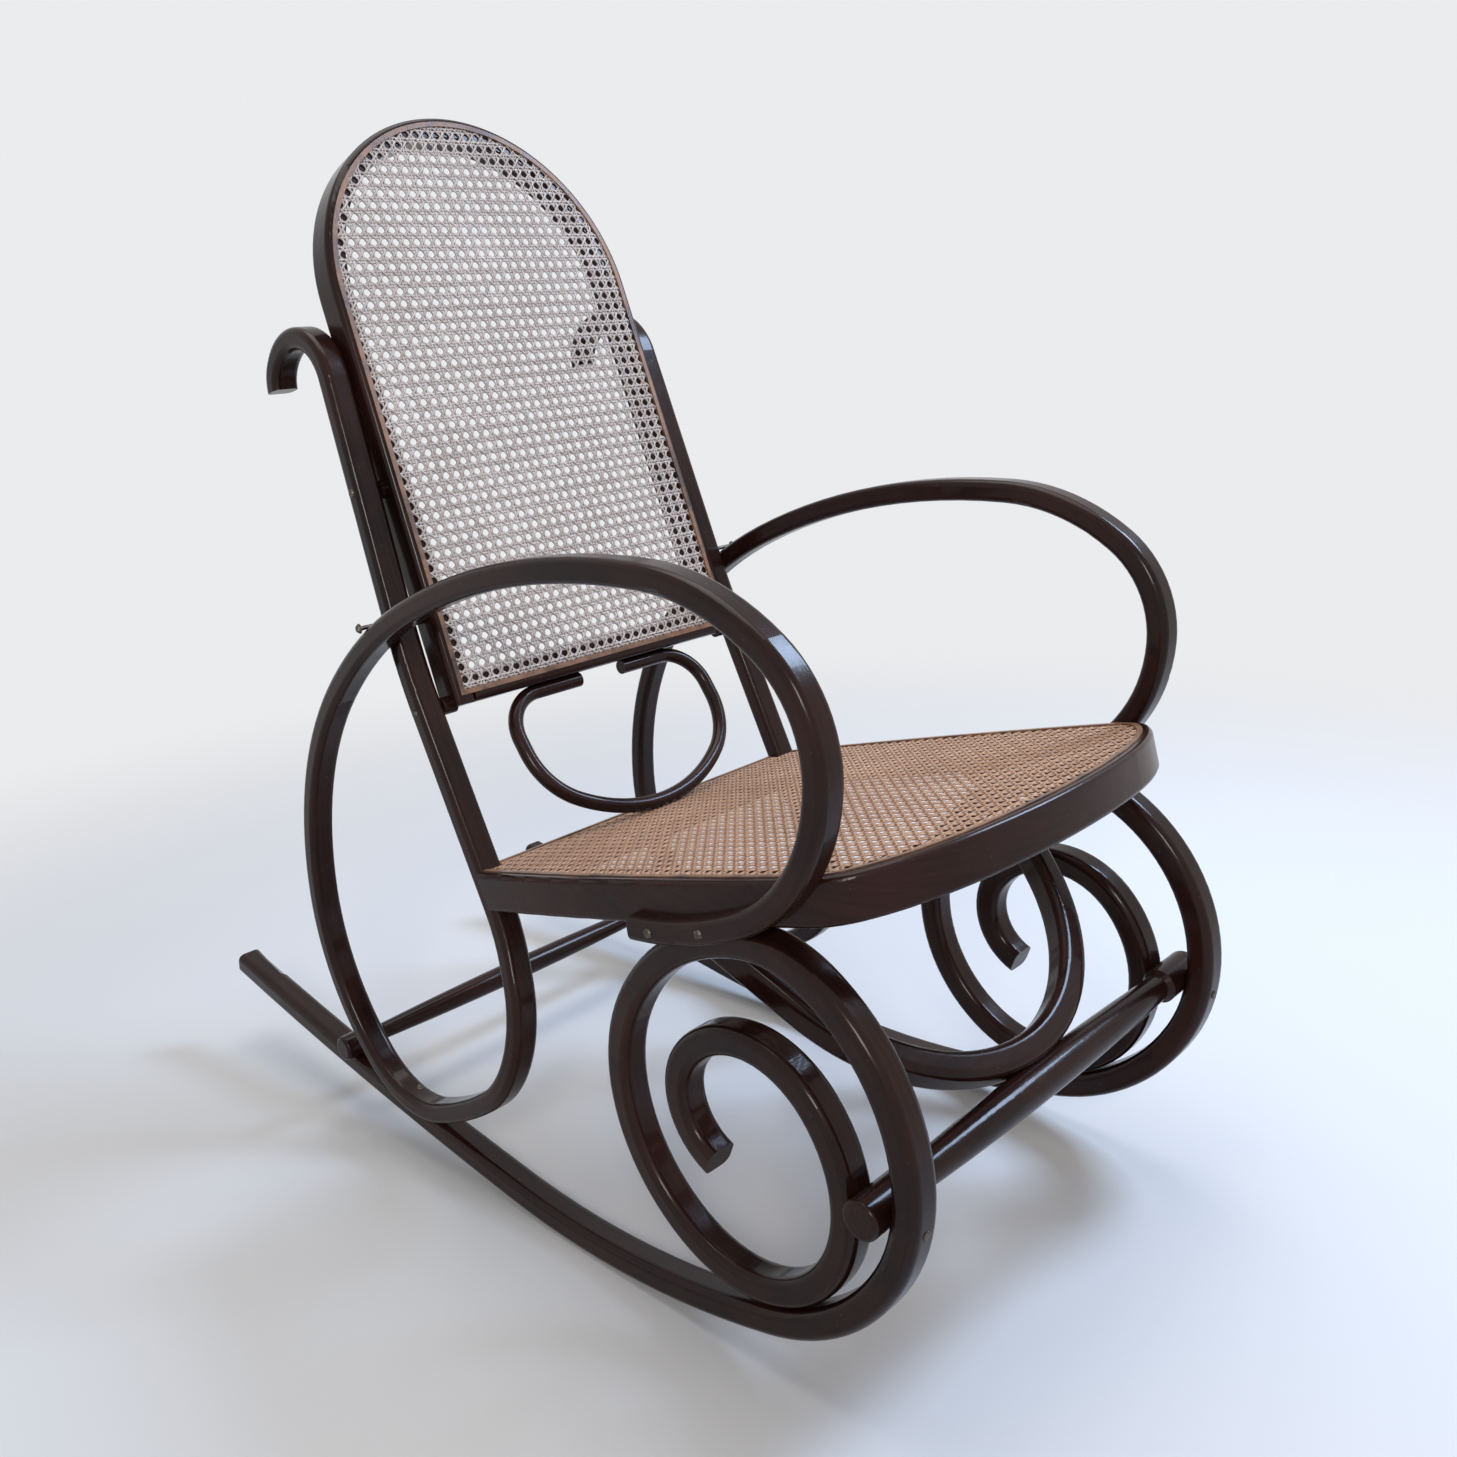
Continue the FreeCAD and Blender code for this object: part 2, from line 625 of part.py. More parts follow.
for name, sign in SIDES:
    edges, post_low, post_high = strand(sign)
    spine = Part.Wire(edges)
    heading = num("arm_heading")
    start = Vector(sign * num("arm_plane"), *arm_start)
    normal = Vector(0, -sine(heading), cosine(heading))
    section = rounded_wire(start, normal, Vector(1, 0, 0), num("arm_depth"),
                           num("arm_width"), num("arm_round"))
    shell = Part.BRepOffsetAPI.MakePipeShell(spine)
    shell.setBiNormalMode(Vector(1, 0, 0))
    shell.add(section, False, False)
    shell.build()
    shell.makeSolid()
    solid = doc.addObject("Part::Feature", "arm_blank_" + name)
    solid.Shape = shell.shape()
    solid.Placement = REST
    blanks["arm_" + name] = solid

# ---------------------------------------------------------------------------
# Seat: a bent hoop open at the rear, closed by a straight rail
# ---------------------------------------------------------------------------
slope = num("seat_slope")
seat_along = Vector(0, -cosine(slope), sine(slope))
seat_up = Vector(0, sine(slope), cosine(slope))
# The underside of the rail is tangent to the top of the scroll.
under = at_heading(SHOULDER, -slope)
under_point = Vector(0, *under) + seat_up * (num("runner_depth") / 2 - num("bite"))
seat_rear = Vector(0, num("seat_rear_y"), 0)
level = (under_point - seat_rear).dot(seat_up)
depth = num("seat_rail_depth")
seat_zero = seat_rear + Vector(0, 0, 1) * ((level + depth) / seat_up.z)


def on_seat(x, along, up):
    """Point given across, forward and above the top face of the seat frame."""
    return seat_zero + Vector(x, 0, 0) + seat_along * along + seat_up * up


def seat_frame(x, along, up, heading):
    """Frame in the plane of the seat whose X runs forward, turned by a heading."""
    ahead = seat_along * cosine(heading) + Vector(1, 0, 0) * sine(heading)
    return frame(on_seat(x, along, up), ahead, seat_up)


def seat_chain(inset, side_turn):
    """Half the outline of the seat moved inwards, from the rear to the middle of the front."""
    lip_turn = sized(90.0) + "seat_flare" - side_turn - "ear_turn" - "cheek_turn" - "brow_turn"
    return [
        arc(sized("side_radius") - inset, side_turn, 1),
        arc(sized("ear_radius") - inset, "ear_turn", 1),
        arc(sized("cheek_radius") - inset, "cheek_turn", 1),
        arc(sized("brow_radius") - inset, "brow_turn", 1),
        arc(sized("lip_radius") - inset, lip_turn, 1),
    ]


def closed_half(chain, half):
    """The chain with its last radius chosen so that it ends on the middle line."""
    steps = walk(chain, (0.0, -half), -num("seat_flare"))
    last = steps[-1]
    return -last["a"][1] / cosine(last["h0"])


rail_half = sized("seat_rail_width") / 2
half_chain = seat_chain(rail_half, sized("side_turn"))
start_half = num("seat_rear_half") - num("seat_rail_width") / 2 / cosine(num("seat_flare"))
lip = closed_half(half_chain, start_half)
half_chain[-1] = arc(lip, half_chain[-1][2], 1)
full = half_chain[:-1] + [arc(lip, half_chain[-1][2] * 2, 1)] + half_chain[:-1][::-1]
body = bent_rod("seat_hoop_blank", full, "seat_rail_width", "seat_rail_depth",
                "seat_rail_round")
put(body, seat_frame(-start_half, 0, -depth / 2, -num("seat_flare")))
blanks["seat_hoop"] = body
seat_steps = walk(full, (0.0, -start_half), -num("seat_flare"))

def straight_bar(label, length, depth_y, depth_z, rounding):
    """A straight rounded bar along its own X, centred on its axis."""
    body = new_body(label)
    section = box_section(body, label + "_section", depth_y, depth_z, rounding)
    doc.recompute()
    pad = body.newObject("PartDesign::Pad", label + "_pad")
    pad.Profile = section
    pad.Length = num(length)
    pad.setExpression("Length", sized(length).text)
    pad.Midplane = True
    body.Tip = pad
    doc.recompute()
    return body


rear_reach = sized("seat_rear_half") * 2 - "seat_rail_width"
body = straight_bar("seat_rear_rail_blank", rear_reach, "seat_rail_width", "seat_rail_depth",
                    "seat_rail_round")
put(body, frame(on_seat(0, num("seat_rail_width") / 2, -depth / 2), Vector(1, 0, 0), seat_up))
blanks["seat_rear_rail"] = body

# ---------------------------------------------------------------------------
# Back: a bent hoop closed by a straight rail
# ---------------------------------------------------------------------------
recline = num("back_recline")
back_up = Vector(0, sine(recline), cosine(recline))
back_out = Vector(0, -cosine(recline), sine(recline))
back_foot = Vector(0, num("back_foot_y"), num("back_foot_z"))


def on_back(x, up, out):
    """Point given across, up the back and in front of its front face."""
    return back_foot + Vector(x, 0, 0) + back_up * up + back_out * out


def back_frame_at(x, up, out, lean):
    """Frame in the plane of the back whose X runs up the back, leaning to the left."""
    ahead = back_up * cosine(lean) + Vector(1, 0, 0) * sine(lean)
    return frame(on_back(x, up, out), ahead, back_out)


taper = num("back_taper")
frame_width = num("back_frame_width")
back_half = num("back_half")
back_depth = num("back_frame_depth")


# radius of the top from the width left at the shoulder
shoulder_half = back_half - num("back_side_length") * math.tan(math.radians(taper))
back_top_radius = sized(shoulder_half / cosine(taper))
back_line = sized("back_side_length") / cosine(taper)
half_width = sized("back_frame_width") / 2
hoop_radius = back_top_radius - half_width
body = bent_rod("back_hoop_blank",
                [line(back_line), arc(hoop_radius, sized(180.0) - sized("back_taper") * 2, -1),
                 line(back_line)],
                "back_frame_width", "back_frame_depth", "back_frame_round")
centre_half = back_half - frame_width / 2 / cosine(taper)
put(body, back_frame_at(-centre_half, 0, -back_depth / 2, taper))
blanks["back_hoop"] = body

body = straight_bar("back_rail_blank", sized("arm_plane") * 2 - sized("arm_width") * 4,
                    "back_rail_height", "back_frame_depth", "back_frame_round")
put(body, frame(on_back(0, num("back_rail_height") / 2, -back_depth / 2), Vector(1, 0, 0),
                back_out))
blanks["back_rail"] = body



# ---------------------------------------------------------------------------
# Stretchers, turned on the lathe
# ---------------------------------------------------------------------------
def turned_bar(label, half, shoulder, end_radius, rod_radius, mid_radius):
    """Turned bar along the body's X axis with thick ends and a swelling middle."""
    half, shoulder, neck = sized(half), sized(shoulder), sized("neck")
    end_radius, rod, mid = sized(end_radius), sized(rod_radius), sized(mid_radius)
    rounding = sized("end_round")
    rod_half = shoulder - neck
    rise = mid - rod
    swell = (rod_half * rod_half + rise * rise) / (rise * 2)
    body = new_body(label)
    sketch = new_sketch(body, label + "_profile", "XY_Plane")
    corners = [(half, Size(0.0, "0")), (half, end_radius - rounding),
               (half - rounding, end_radius), (shoulder, end_radius), (rod_half, rod)]
    points = [(c[0].value, c[1].value) for c in corners]
    left = [(-x, y) for x, y in reversed(points)]

    def add_line(p, q):
        return sketch.addGeometry(Part.LineSegment(Vector(*p, 0), Vector(*q, 0)), False)

    def add_arc(centre, radius, start, stop):
        circle = Part.Circle(Vector(*centre, 0), Vector(0, 0, 1), radius)
        return sketch.addGeometry(Part.ArcOfCircle(circle, start, stop), False)

    loop = []
    loop.append((add_line(left[-1], points[0]), 1, 2))
    loop.append((add_line(points[0], points[1]), 1, 2))
    r = rounding.value
    loop.append((add_arc((points[2][0], points[1][1]), r, 0, math.pi / 2), 1, 2))
    loop.append((add_line(points[2], points[3]), 1, 2))
    loop.append((add_line(points[3], points[4]), 1, 2))
    lift = mid.value - swell.value
    spread = math.asin(rod_half.value / swell.value)
    loop.append((add_arc((0, lift), swell.value, math.pi / 2 - spread,
                         math.pi / 2 + spread), 1, 2))
    loop.append((add_line(left[0], left[1]), 1, 2))
    loop.append((add_line(left[1], left[2]), 1, 2))
    loop.append((add_arc((left[2][0], left[3][1]), r, math.pi / 2, math.pi), 1, 2))
    loop.append((add_line(left[3], left[4]), 1, 2))
    for k, (index, start, stop) in enumerate(loop):
        after = loop[(k + 1) % len(loop)]
        sketch.addConstraint(Sketcher.Constraint("Coincident", index, stop, after[0], after[1]))
    for k, side, order in ((1, 1, corners), (6, -1, corners[::-1])):
        for step in range(5):
            index, start, stop = loop[k + step] if k + step < len(loop) else loop[0]
            px, py = order[step]
            if side < 0:
                px = Size(0.0, "0") - px
            dimension(sketch, px, "DistanceX", -1, 1, index, start)
            dimension(sketch, py, "DistanceY", -1, 1, index, start)
    dimension(sketch, rounding, "Radius", loop[2][0])
    dimension(sketch, rounding, "Radius", loop[8][0])
    dimension(sketch, swell, "Radius", loop[5][0])
    doc.recompute()
    spin = body.newObject("PartDesign::Revolution", label + "_spin")
    spin.Profile = sketch
    spin.ReferenceAxis = (sketch, ["H_Axis"])
    spin.Angle = 360.0
    body.Tip = spin
    doc.recompute()
    return body


half_runner = num("runner_depth") / 2
bite = num("bite")
front_axis = circles_meet(
    FRONT["c"], FRONT["r"] - half_runner - num("front_end_radius") + bite,
    CUP["c"], CUP["r"] + half_runner + num("front_end_radius") - bite,
    lambda p: -abs(p[1] - CUP["c"][1]))
body = turned_bar("front_stretcher_blank", sized("runner_plane") + "front_end_out",
                  sized("runner_plane") - "front_shoulder", "front_end_radius",
                  "front_rod_radius", "front_mid_radius")
put(body, Placement(Vector(0, *front_axis), Rotation()))
blanks["front_stretcher"] = body

# the rear stretcher rests on top of the runner
reach = TAIL["r"] - half_runner - num("rear_end_radius") + bite
drop = (num("rear_stretcher_y") - TAIL["c"][0]) / reach
rear_axis = (num("rear_stretcher_y"), TAIL["c"][1] - reach * math.sqrt(1 - drop * drop))
body = turned_bar("rear_stretcher_blank", sized("runner_plane") + "rear_end_out",
                  sized("runner_plane") - "rear_shoulder", "rear_end_radius",
                  "rear_rod_radius", "rear_mid_radius")
put(body, Placement(Vector(0, *rear_axis), Rotation()))
blanks["rear_stretcher"] = body

# ---------------------------------------------------------------------------
# Hoop brace between the front stretcher and the seat
# ---------------------------------------------------------------------------
pitch = num("brace_pitch")
reach = num("front_mid_radius") + num("brace_depth") / 2 - num("brace_lap")
brace_low = Vector(0, front_axis[0] + reach * cosine(45), front_axis[1] + reach * sine(45))
brace_back = Vector(0, cosine(pitch), sine(pitch))
brace_up = Vector(0, -sine(pitch), cosine(pitch))
brace_chain = [line("brace_leg"), arc("brace_bow", "brace_bow_turn", 1), line("brace_leg")]
half_turn = num("brace_bow_turn") / 2
leg = walk(brace_chain, (0.0, 0.0), -half_turn)
mid_low = at_heading(leg[1], 0.0)
body = bent_rod("hoop_brace_blank", brace_chain, "brace_depth", "brace_width", "rod_round")
leg_way = Vector(1, 0, 0) * cosine(half_turn) - brace_back * sine(half_turn)
leg_top = brace_low + Vector(-mid_low[0], 0, 0) + brace_back * (-mid_low[1])
put(body, frame(leg_top, leg_way, brace_up))
blanks["hoop_brace"] = body

# ---------------------------------------------------------------------------
# Small loop hanging from the bottom rail of the back
# ---------------------------------------------------------------------------
deco_lean = num("deco_pitch")
deco_top = on_back(0, 0, -back_depth / 2) - back_up * (num("deco_radius") - bite)
deco_out = Vector(0, -sine(deco_lean), cosine(deco_lean))
deco_half = num("deco_gap_half") + num("deco_end")
deco_quarter = [line("deco_end"), arc("deco_corner", "deco_corner_turn", 1), line("deco_leg"),
                arc("deco_side", "deco_side_turn", 1)]
steps = walk(deco_quarter, (-num("deco_gap_half"), 0.0), 180.0)
low_turn = 180.0 - num("deco_corner_turn") - num("deco_side_turn")
low_radius = -steps[-1]["b"][0] / sine(low_turn)
low_arc = arc(low_radius, sized(360.0) - sized("deco_corner_turn") * 2
              - sized("deco_side_turn") * 2, 1)
body = round_rod("deco_loop_blank", deco_quarter + [low_arc] + deco_quarter[::-1],
                 "deco_radius")
put(body, frame(deco_top + Vector(-num("deco_gap_half"), 0, 0), Vector(-1, 0, 0), deco_out))
blanks["deco_loop"] = body

# ---------------------------------------------------------------------------
# Cane and the bead round it
# ---------------------------------------------------------------------------
bead_height = sized("spline_depth") + "spline_proud"
bead_middle = num("spline_proud") - bead_height.value / 2
bead_round = None


def plate(label, chain, thick):
    """Flat plate bounded by a chain and the straight line that closes it."""
    body = new_body(label)
    sketch = chain_sketch(body, label + "_outline", chain)
    steps = walk(chain)
    last = len(chain) - 1
    closing = sketch.addGeometry(Part.LineSegment(
        Vector(*steps[-1]["b"], 0), Vector(*steps[0]["a"], 0)), False)
    end_of = 2 if steps[-1]["side"] >= 0 else 1
    start_of = 1 if steps[0]["side"] >= 0 else 2
    sketch.addConstraint(Sketcher.Constraint("Coincident", last, end_of, closing, 1))
    sketch.addConstraint(Sketcher.Constraint("Coincident", 0, start_of, closing, 2))
    doc.recompute()
    pad = body.newObject("PartDesign::Pad", label + "_pad")
    pad.Profile = sketch
    pad.Length = num(thick)
    pad.setExpression("Length", sized(thick).text)
    pad.Reversed = True
    body.Tip = pad
    doc.recompute()
    return body


# back
inset = sized("back_spline_inset") + sized("spline_width") / 2
bead_low = num("back_rail_inset") + num("spline_width") / 2
bead_line = sized((num("back_side_length") - bead_low) / cosine(taper))
bead_chain = [line(bead_line), arc(back_top_radius - inset,
                                   sized(180.0) - sized("back_taper") * 2, -1), line(bead_line)]
bead_half = back_half - inset.value / cosine(taper) - bead_low * math.tan(math.radians(taper))
bead_bend = bent_rod("back_bead_bend", bead_chain, "spline_width", bead_height, bead_round)
put(bead_bend, back_frame_at(-bead_half, bead_low, bead_middle, taper))
bead_foot = straight_bar("back_bead_foot", sized("spline_width") + bead_half * 2,
                         "spline_width", bead_height, bead_round)
put(bead_foot, frame(on_back(0, bead_low, bead_middle), Vector(1, 0, 0), back_out))
back_bead = doc.addObject("Part::Fuse", "back_spline")
back_bead.Base = bead_bend
back_bead.Tool = bead_foot
cane_blank = plate("back_cane_blank", bead_chain, "cane_thick")
put(cane_blank, back_frame_at(-bead_half, bead_low, 0, taper))
blanks["back_cane"] = cane_blank

# seat
side_inset = sized("seat_spline_inset") + sized("spline_width") / 2
rear_inset = side_inset.value
per_degree = math.radians(num("side_radius") - side_inset.value)
begin = rear_inset / per_degree
bead_side_turn = sized("side_turn") - begin
bead_flare = num("seat_flare") - begin
half_bead = [
    arc(sized("side_radius") - side_inset, bead_side_turn, 1),
    arc(sized("ear_radius") - side_inset, "ear_turn", 1),
    arc(sized("cheek_radius") - side_inset, "cheek_turn", 1),
    arc(sized("brow_radius") - side_inset, "brow_turn", 1),
]
bead_start = (num("seat_rear_half") - rear_inset / cosine(num("seat_flare"))
              + rear_inset * math.tan(math.radians(num("seat_flare"))))
steps = walk(half_bead, (0.0, -bead_start), -bead_flare)
left_turn = 90.0 - steps[-1]["h1"]
bead_lip = -steps[-1]["b"][1] / cosine(steps[-1]["h1"])
seat_bead_chain = half_bead + [arc(bead_lip, left_turn * 2, 1)] + half_bead[::-1]
body = bent_rod("seat_bead_bend", seat_bead_chain, "spline_width", bead_height, bead_round)
put(body, seat_frame(-bead_start, rear_inset, bead_middle, -bead_flare))
across = straight_bar("seat_bead_rear", sized("spline_width") + bead_start * 2, "spline_width",
                      bead_height, bead_round)
put(across, frame(on_seat(0, rear_inset, bead_middle), Vector(1, 0, 0), seat_up))
seat_bead = doc.addObject("Part::Fuse", "seat_spline_blank")
seat_bead.Base = body
seat_bead.Tool = across
cane_blank = plate("seat_cane_blank", seat_bead_chain, "cane_thick")
put(cane_blank, seat_frame(-bead_start, rear_inset, 0, -bead_flare))
blanks["seat_cane"] = cane_blank
doc.recompute()

# ---------------------------------------------------------------------------
# Screws and dowels
# ---------------------------------------------------------------------------
def primitive(kind, name, placement, **sizes):
    thing = doc.addObject(kind, name)
    for key, quantity in sizes.items():
        quantity = sized(quantity)
        setattr(thing, key, quantity.value)
        if "sizes." in quantity.text:
            thing.setExpression(key, quantity.text)
    thing.Placement = placement
    return thing


def pointing(place, way):
    """Placement at a point of the drawing with local Z along a direction of the drawing."""
    return REST.multiply(Placement(place, Rotation(Vector(0, 0, 1), way)))


def group(label, members):
    bundle = doc.addObject("Part::Compound", label)
    bundle.Label = label
    bundle.Links = members
    return bundle


def screw(label, place, way, length):
    """Wood screw driven along a direction from a place on the surface of the wood."""
    way = Vector(way)
    way.normalize()
    seat = place + way * num("head_sunk")
    head = primitive("Part::Cone", label + "_head", pointing(seat, way * -1),
                     Radius1="head_radius", Radius2="head_top_radius", Height="head_height")
    shank = primitive("Part::Cylinder", label + "_shank", pointing(seat, way),
                      Radius="screw_radius", Height=length)
    whole = doc.addObject("Part::Fuse", label)
    whole.Base = head
    whole.Tool = shank
    return whole


def dowel(label, middle, way):
    way = Vector(way)
    way.normalize()
    start = middle - way * (num("dowel_length") / 2)
    return primitive("Part::Cylinder", label, pointing(start, way),
                     Radius="dowel_radius", Height="dowel_length")


def each_side(label, maker):
    """One list of pieces made by maker(name, sign) for both sides."""
    return [maker("%s_%s" % (label, name), sign) for name, sign in SIDES]


half_arm = num("arm_width") / 2
across_arm = num("arm_plane") + half_arm
half_runner_width = num("runner_width") / 2

# arm ends on the seat rail
arm_screws = []
for index, reach in enumerate(("arm_screw_first", "arm_screw_second"), start=1):
    turn = math.degrees(num(reach) / FOOT["r"])
    place = at_heading(FOOT, FOOT["h0"] - turn)
    for name, sign in SIDES:
        arm_screws.append(screw("arm_screw_%d_%s" % (index, name),
                                Vector(sign * across_arm, *place), (-sign, 0, 0),
                                "arm_screw_length"))
arm_screws = group("arm_screws", arm_screws)


# places along the straight parts of the post
post_points = []
for start, end in (post_low, post_high):
    post_points += [start + (end - start) * (k / 300) for k in range(301)]
arm_points = points_of(ARMREST, 150) + points_of(FALL, 150)
crossing = min(((math.hypot(p.y - y, p.z - z), p) for p in post_points
                for y, z in arm_points), key=lambda pair: pair[0])[1]
crossing_screws = group("crossing_screws", each_side("crossing_screw", lambda label, sign: screw(
    label, Vector(sign * across_arm, crossing.y, crossing.z), (-sign, 0, 0),
    "crossing_screw_length")))

# posts on the back frame, each screw through a wooden spacer
back_screws = []
spacers = []
spacer_places = [crossing]
for index, height in enumerate(("back_screw_low", "back_screw_high"), start=1):
    level = on_back(0, num(height), -back_depth / 2).z
    middle = min(post_points, key=lambda p: abs(p.z - level))
    spacer_places.append(middle)
    for name, sign in SIDES:
        back_screws.append(screw("back_screw_%d_%s" % (index, name),
                                 Vector(sign * (abs(middle.x) + half_arm), middle.y, middle.z),
                                 (-sign, 0, 0), "back_screw_length"))
post_back_screws = group("post_back_screws", back_screws)
for place in spacer_places:
    for name, sign in SIDES:
        far = Vector(sign * (abs(place.x) - half_arm - num("spacer_gap")), place.y, place.z)
        spacers.append(primitive("Part::Cylinder", "spacer_blank_" + name,
                                 pointing(far, Vector(-sign, 0, 0)), Radius="spacer_radius",
                                 Height="spacer_blank_length"))
spacers = group("spacer_blanks", spacers)

# lower loop on the runner, from inside the loop down into the runner
down = Vector(0, sine(runner_slope), -cosine(runner_slope))
loop_top = Vector(0, stand_y, stand_z) - down * (num("arm_depth") / 2)
overlap_plane = (num("arm_plane") + num("runner_plane")) / 2
loop_screws = group("loop_runner_screws", each_side("loop_screw", lambda label, sign: screw(
    label, loop_top + Vector(sign * overlap_plane, 0, 0), down, "loop_screw_length")))

# top of the scroll under the seat rail, from below
scroll_screw_plane = num("runner_plane") - num("scroll_screw_inset")
scroll_under = Vector(0, *under) - seat_up * half_runner
scroll_screws = group("scroll_seat_screws", each_side("scroll_screw", lambda label, sign: screw(
    label, scroll_under + Vector(sign * scroll_screw_plane, 0, 0), seat_up,
    "scroll_screw_length")))

# dowels of the seat's rear rail and of the bottom rail of the back
joint = num("seat_rear_half") - num("seat_rail_width") / cosine(num("seat_flare"))

joint += num("seat_rail_width") / 2 * math.tan(math.radians(num("seat_flare")))
pins = []
for name, sign in SIDES:
    for index in range(2):
        depth_at = num("seat_dowel_depth") + num("dowel_pitch") * index
        place = on_seat(sign * joint, num("seat_rail_width") / 2, -depth_at)
        pins.append(dowel("seat_dowel_%s_%d" % (name, index), place, (1, 0, 0)))
seat_dowels = group("seat_dowels", pins)
pins = []
joint = back_half - frame_width / cosine(taper) \
    - num("back_rail_height") / 2 * math.tan(math.radians(taper))
for name, sign in SIDES:
    for index in range(2):
        depth_at = num("back_dowel_depth") + num("back_dowel_pitch") * index
        place = on_back(sign * joint, num("back_rail_height") / 2, -depth_at)
        pins.append(dowel("back_dowel_%s_%d" % (name, index), place, (1, 0, 0)))
back_dowels = group("back_dowels", pins)



def toward(step, axis):
    """Direction from the outer side of a runner arc to a stretcher's axis inside the arc."""
    dy, dz = step["c"][0] - axis[0], step["c"][1] - axis[1]
    far = math.hypot(dy, dz)
    return Vector(0, dy / far, dz / far)


def strand_outside(step, axis):
    """Place on the outer face of a runner arc beside a stretcher's axis."""
    way = toward(step, axis)
    reach = step["r"] + num("runner_depth") / 2
    return step["c"][0] - way.y * reach, step["c"][1] - way.z * reach


# stretchers and braces
front_screws = group("front_stretcher_screws", each_side(
    "front_stretcher_screw", lambda label, sign: screw(
        label, Vector(sign * num("runner_plane"), *strand_outside(FRONT, front_axis)),
        toward(FRONT, front_axis), "stretcher_screw_length")))
rear_screws = group("rear_stretcher_screws", each_side(
    "rear_stretcher_screw", lambda label, sign: screw(
        label, Vector(sign * num("runner_plane"), *strand_outside(TAIL, rear_axis)),
        toward(TAIL, rear_axis), "stretcher_screw_length")))
brace_screw = screw("brace_screw", brace_low + Vector(0, cosine(45), sine(45))
                    * (num("brace_depth") / 2), Vector(0, -cosine(45), -sine(45)),
                    "brace_screw_length")


# ---------------------------------------------------------------------------
# Finished pieces: each blank is cut by what is let into it or bears on it
# ---------------------------------------------------------------------------
nodes = {}


def carve(label, blank, tools):
    """The blank cut by each of the tools in turn."""
    result = blank
    for index, tool in enumerate(tools, start=1):
        last = index == len(tools)
        cut = doc.addObject("Part::Cut", label if last else "%s_cut_%d" % (label, index))
        cut.Base = result
        cut.Tool = tool
        result = cut
    result.Label = label
    nodes[label] = result
    return result


def trim(label, placement, length, width, height):
    """A block that takes off what lies past its near corner."""
    return primitive("Part::Box", label, placement, Length=length, Width=width, Height=height)


above_seat = trim("above_rail", REST.multiply(frame(
    on_seat(-300, -100, -depth), seat_along, seat_up)), 700, 600, 60)

# the straight rails end a glue line short of the bent hoops
def rail_ends(label, origin, along, up, half, lean):
    """Blocks past the two ends of a rail, with faces that follow the sides of the hoop."""
    blocks = []
    for name, sign in SIDES:
        ahead = along * cosine(lean) + Vector(sign, 0, 0) * sine(lean)
        corner = origin + Vector(sign * half, 0, 0) - ahead * 60 - up * 60
        across = up.cross(ahead)
        if across.x * sign < 0:
            corner = corner - across * 60
        blocks.append(trim(label + name, REST.multiply(frame(corner, ahead, up)), 160, 60, 120))
    return group(label, blocks)


seat_ends = rail_ends(
    "past_rear_rail_", on_seat(0, 0, -depth / 2), seat_along, seat_up,
    num("seat_rear_half") - num("seat_rail_width") / cosine(num("seat_flare"))
    - num("rail_gap"), num("seat_flare"))
back_ends = rail_ends(
    "past_back_rail_", on_back(0, 0, -back_depth / 2), back_up, back_out,
    back_half - frame_width / cosine(taper) - num("rail_gap"), -taper)

# The posts pass through the rear corners of the seat, so its pieces end at their front faces.
start, end = post_low
post_way = end - start
post_way.normalize()
post_back = Vector(0, post_way.z, -post_way.y)
behind = []
inner = num("seat_rear_half") - num("seat_rail_width") / cosine(num("seat_flare"))
for name, sign in SIDES:
    corner = Vector(0, start.y, start.z) - post_back * (num("arm_depth") / 2 + num("rail_gap"))
    corner = corner - post_way * 60 + Vector(inner if sign > 0 else -inner - 60, 0, 0)
    behind.append(trim("behind_post_" + name, REST.multiply(frame(
        corner, post_way, post_back)), 160, 60, 70))
behind = group("behind_posts", behind)
hoop_body = doc.addObject("Part::Cut", "seat_hoop_body")
hoop_body.Base = blanks["seat_hoop"]
hoop_body.Tool = behind

carve("seat_rear_rail", blanks["seat_rear_rail"],
      [seat_ends, seat_bead, blanks["seat_cane"], seat_dowels])
carve("seat_hoop", hoop_body, [seat_bead, blanks["seat_cane"], arm_screws, scroll_screws])
carve("seat_cane", blanks["seat_cane"], [behind, seat_bead])
carve("seat_spline", seat_bead, [behind])
carve("back_rail", blanks["back_rail"],
      [back_ends, back_bead, blanks["back_cane"], back_dowels])
carve("back_cane", blanks["back_cane"], [back_bead])
carve("back_hoop", blanks["back_hoop"],
      [bead_foot, blanks["back_cane"], bead_bend, back_dowels, post_back_screws,
       crossing_screws])
carve("post_spacers", spacers, [blanks["back_hoop"], post_back_screws, crossing_screws])
carve("front_stretcher", blanks["front_stretcher"], [front_screws, brace_screw])
carve("rear_stretcher", blanks["rear_stretcher"], [rear_screws])
carve("hoop_brace", blanks["hoop_brace"],
      [above_seat, blanks["front_stretcher"], blanks["runner_left"], blanks["runner_right"],
       blanks["arm_left"], blanks["arm_right"], arm_screws, brace_screw])
carve("deco_loop", blanks["deco_loop"], [blanks["back_rail"], blanks["seat_cane"]])
for name, sign in SIDES:
    runner = blanks["runner_" + name]
    carve("runner_scroll_" + name, runner,
          [hoop_body, blanks["front_stretcher"], blanks["rear_stretcher"],
           loop_screws, scroll_screws, arm_screws, front_screws, rear_screws])
    carve("arm_loop_" + name, blanks["arm_" + name],
          [hoop_body, runner, seat_dowels, arm_screws, crossing_screws, post_back_screws,
           loop_screws])
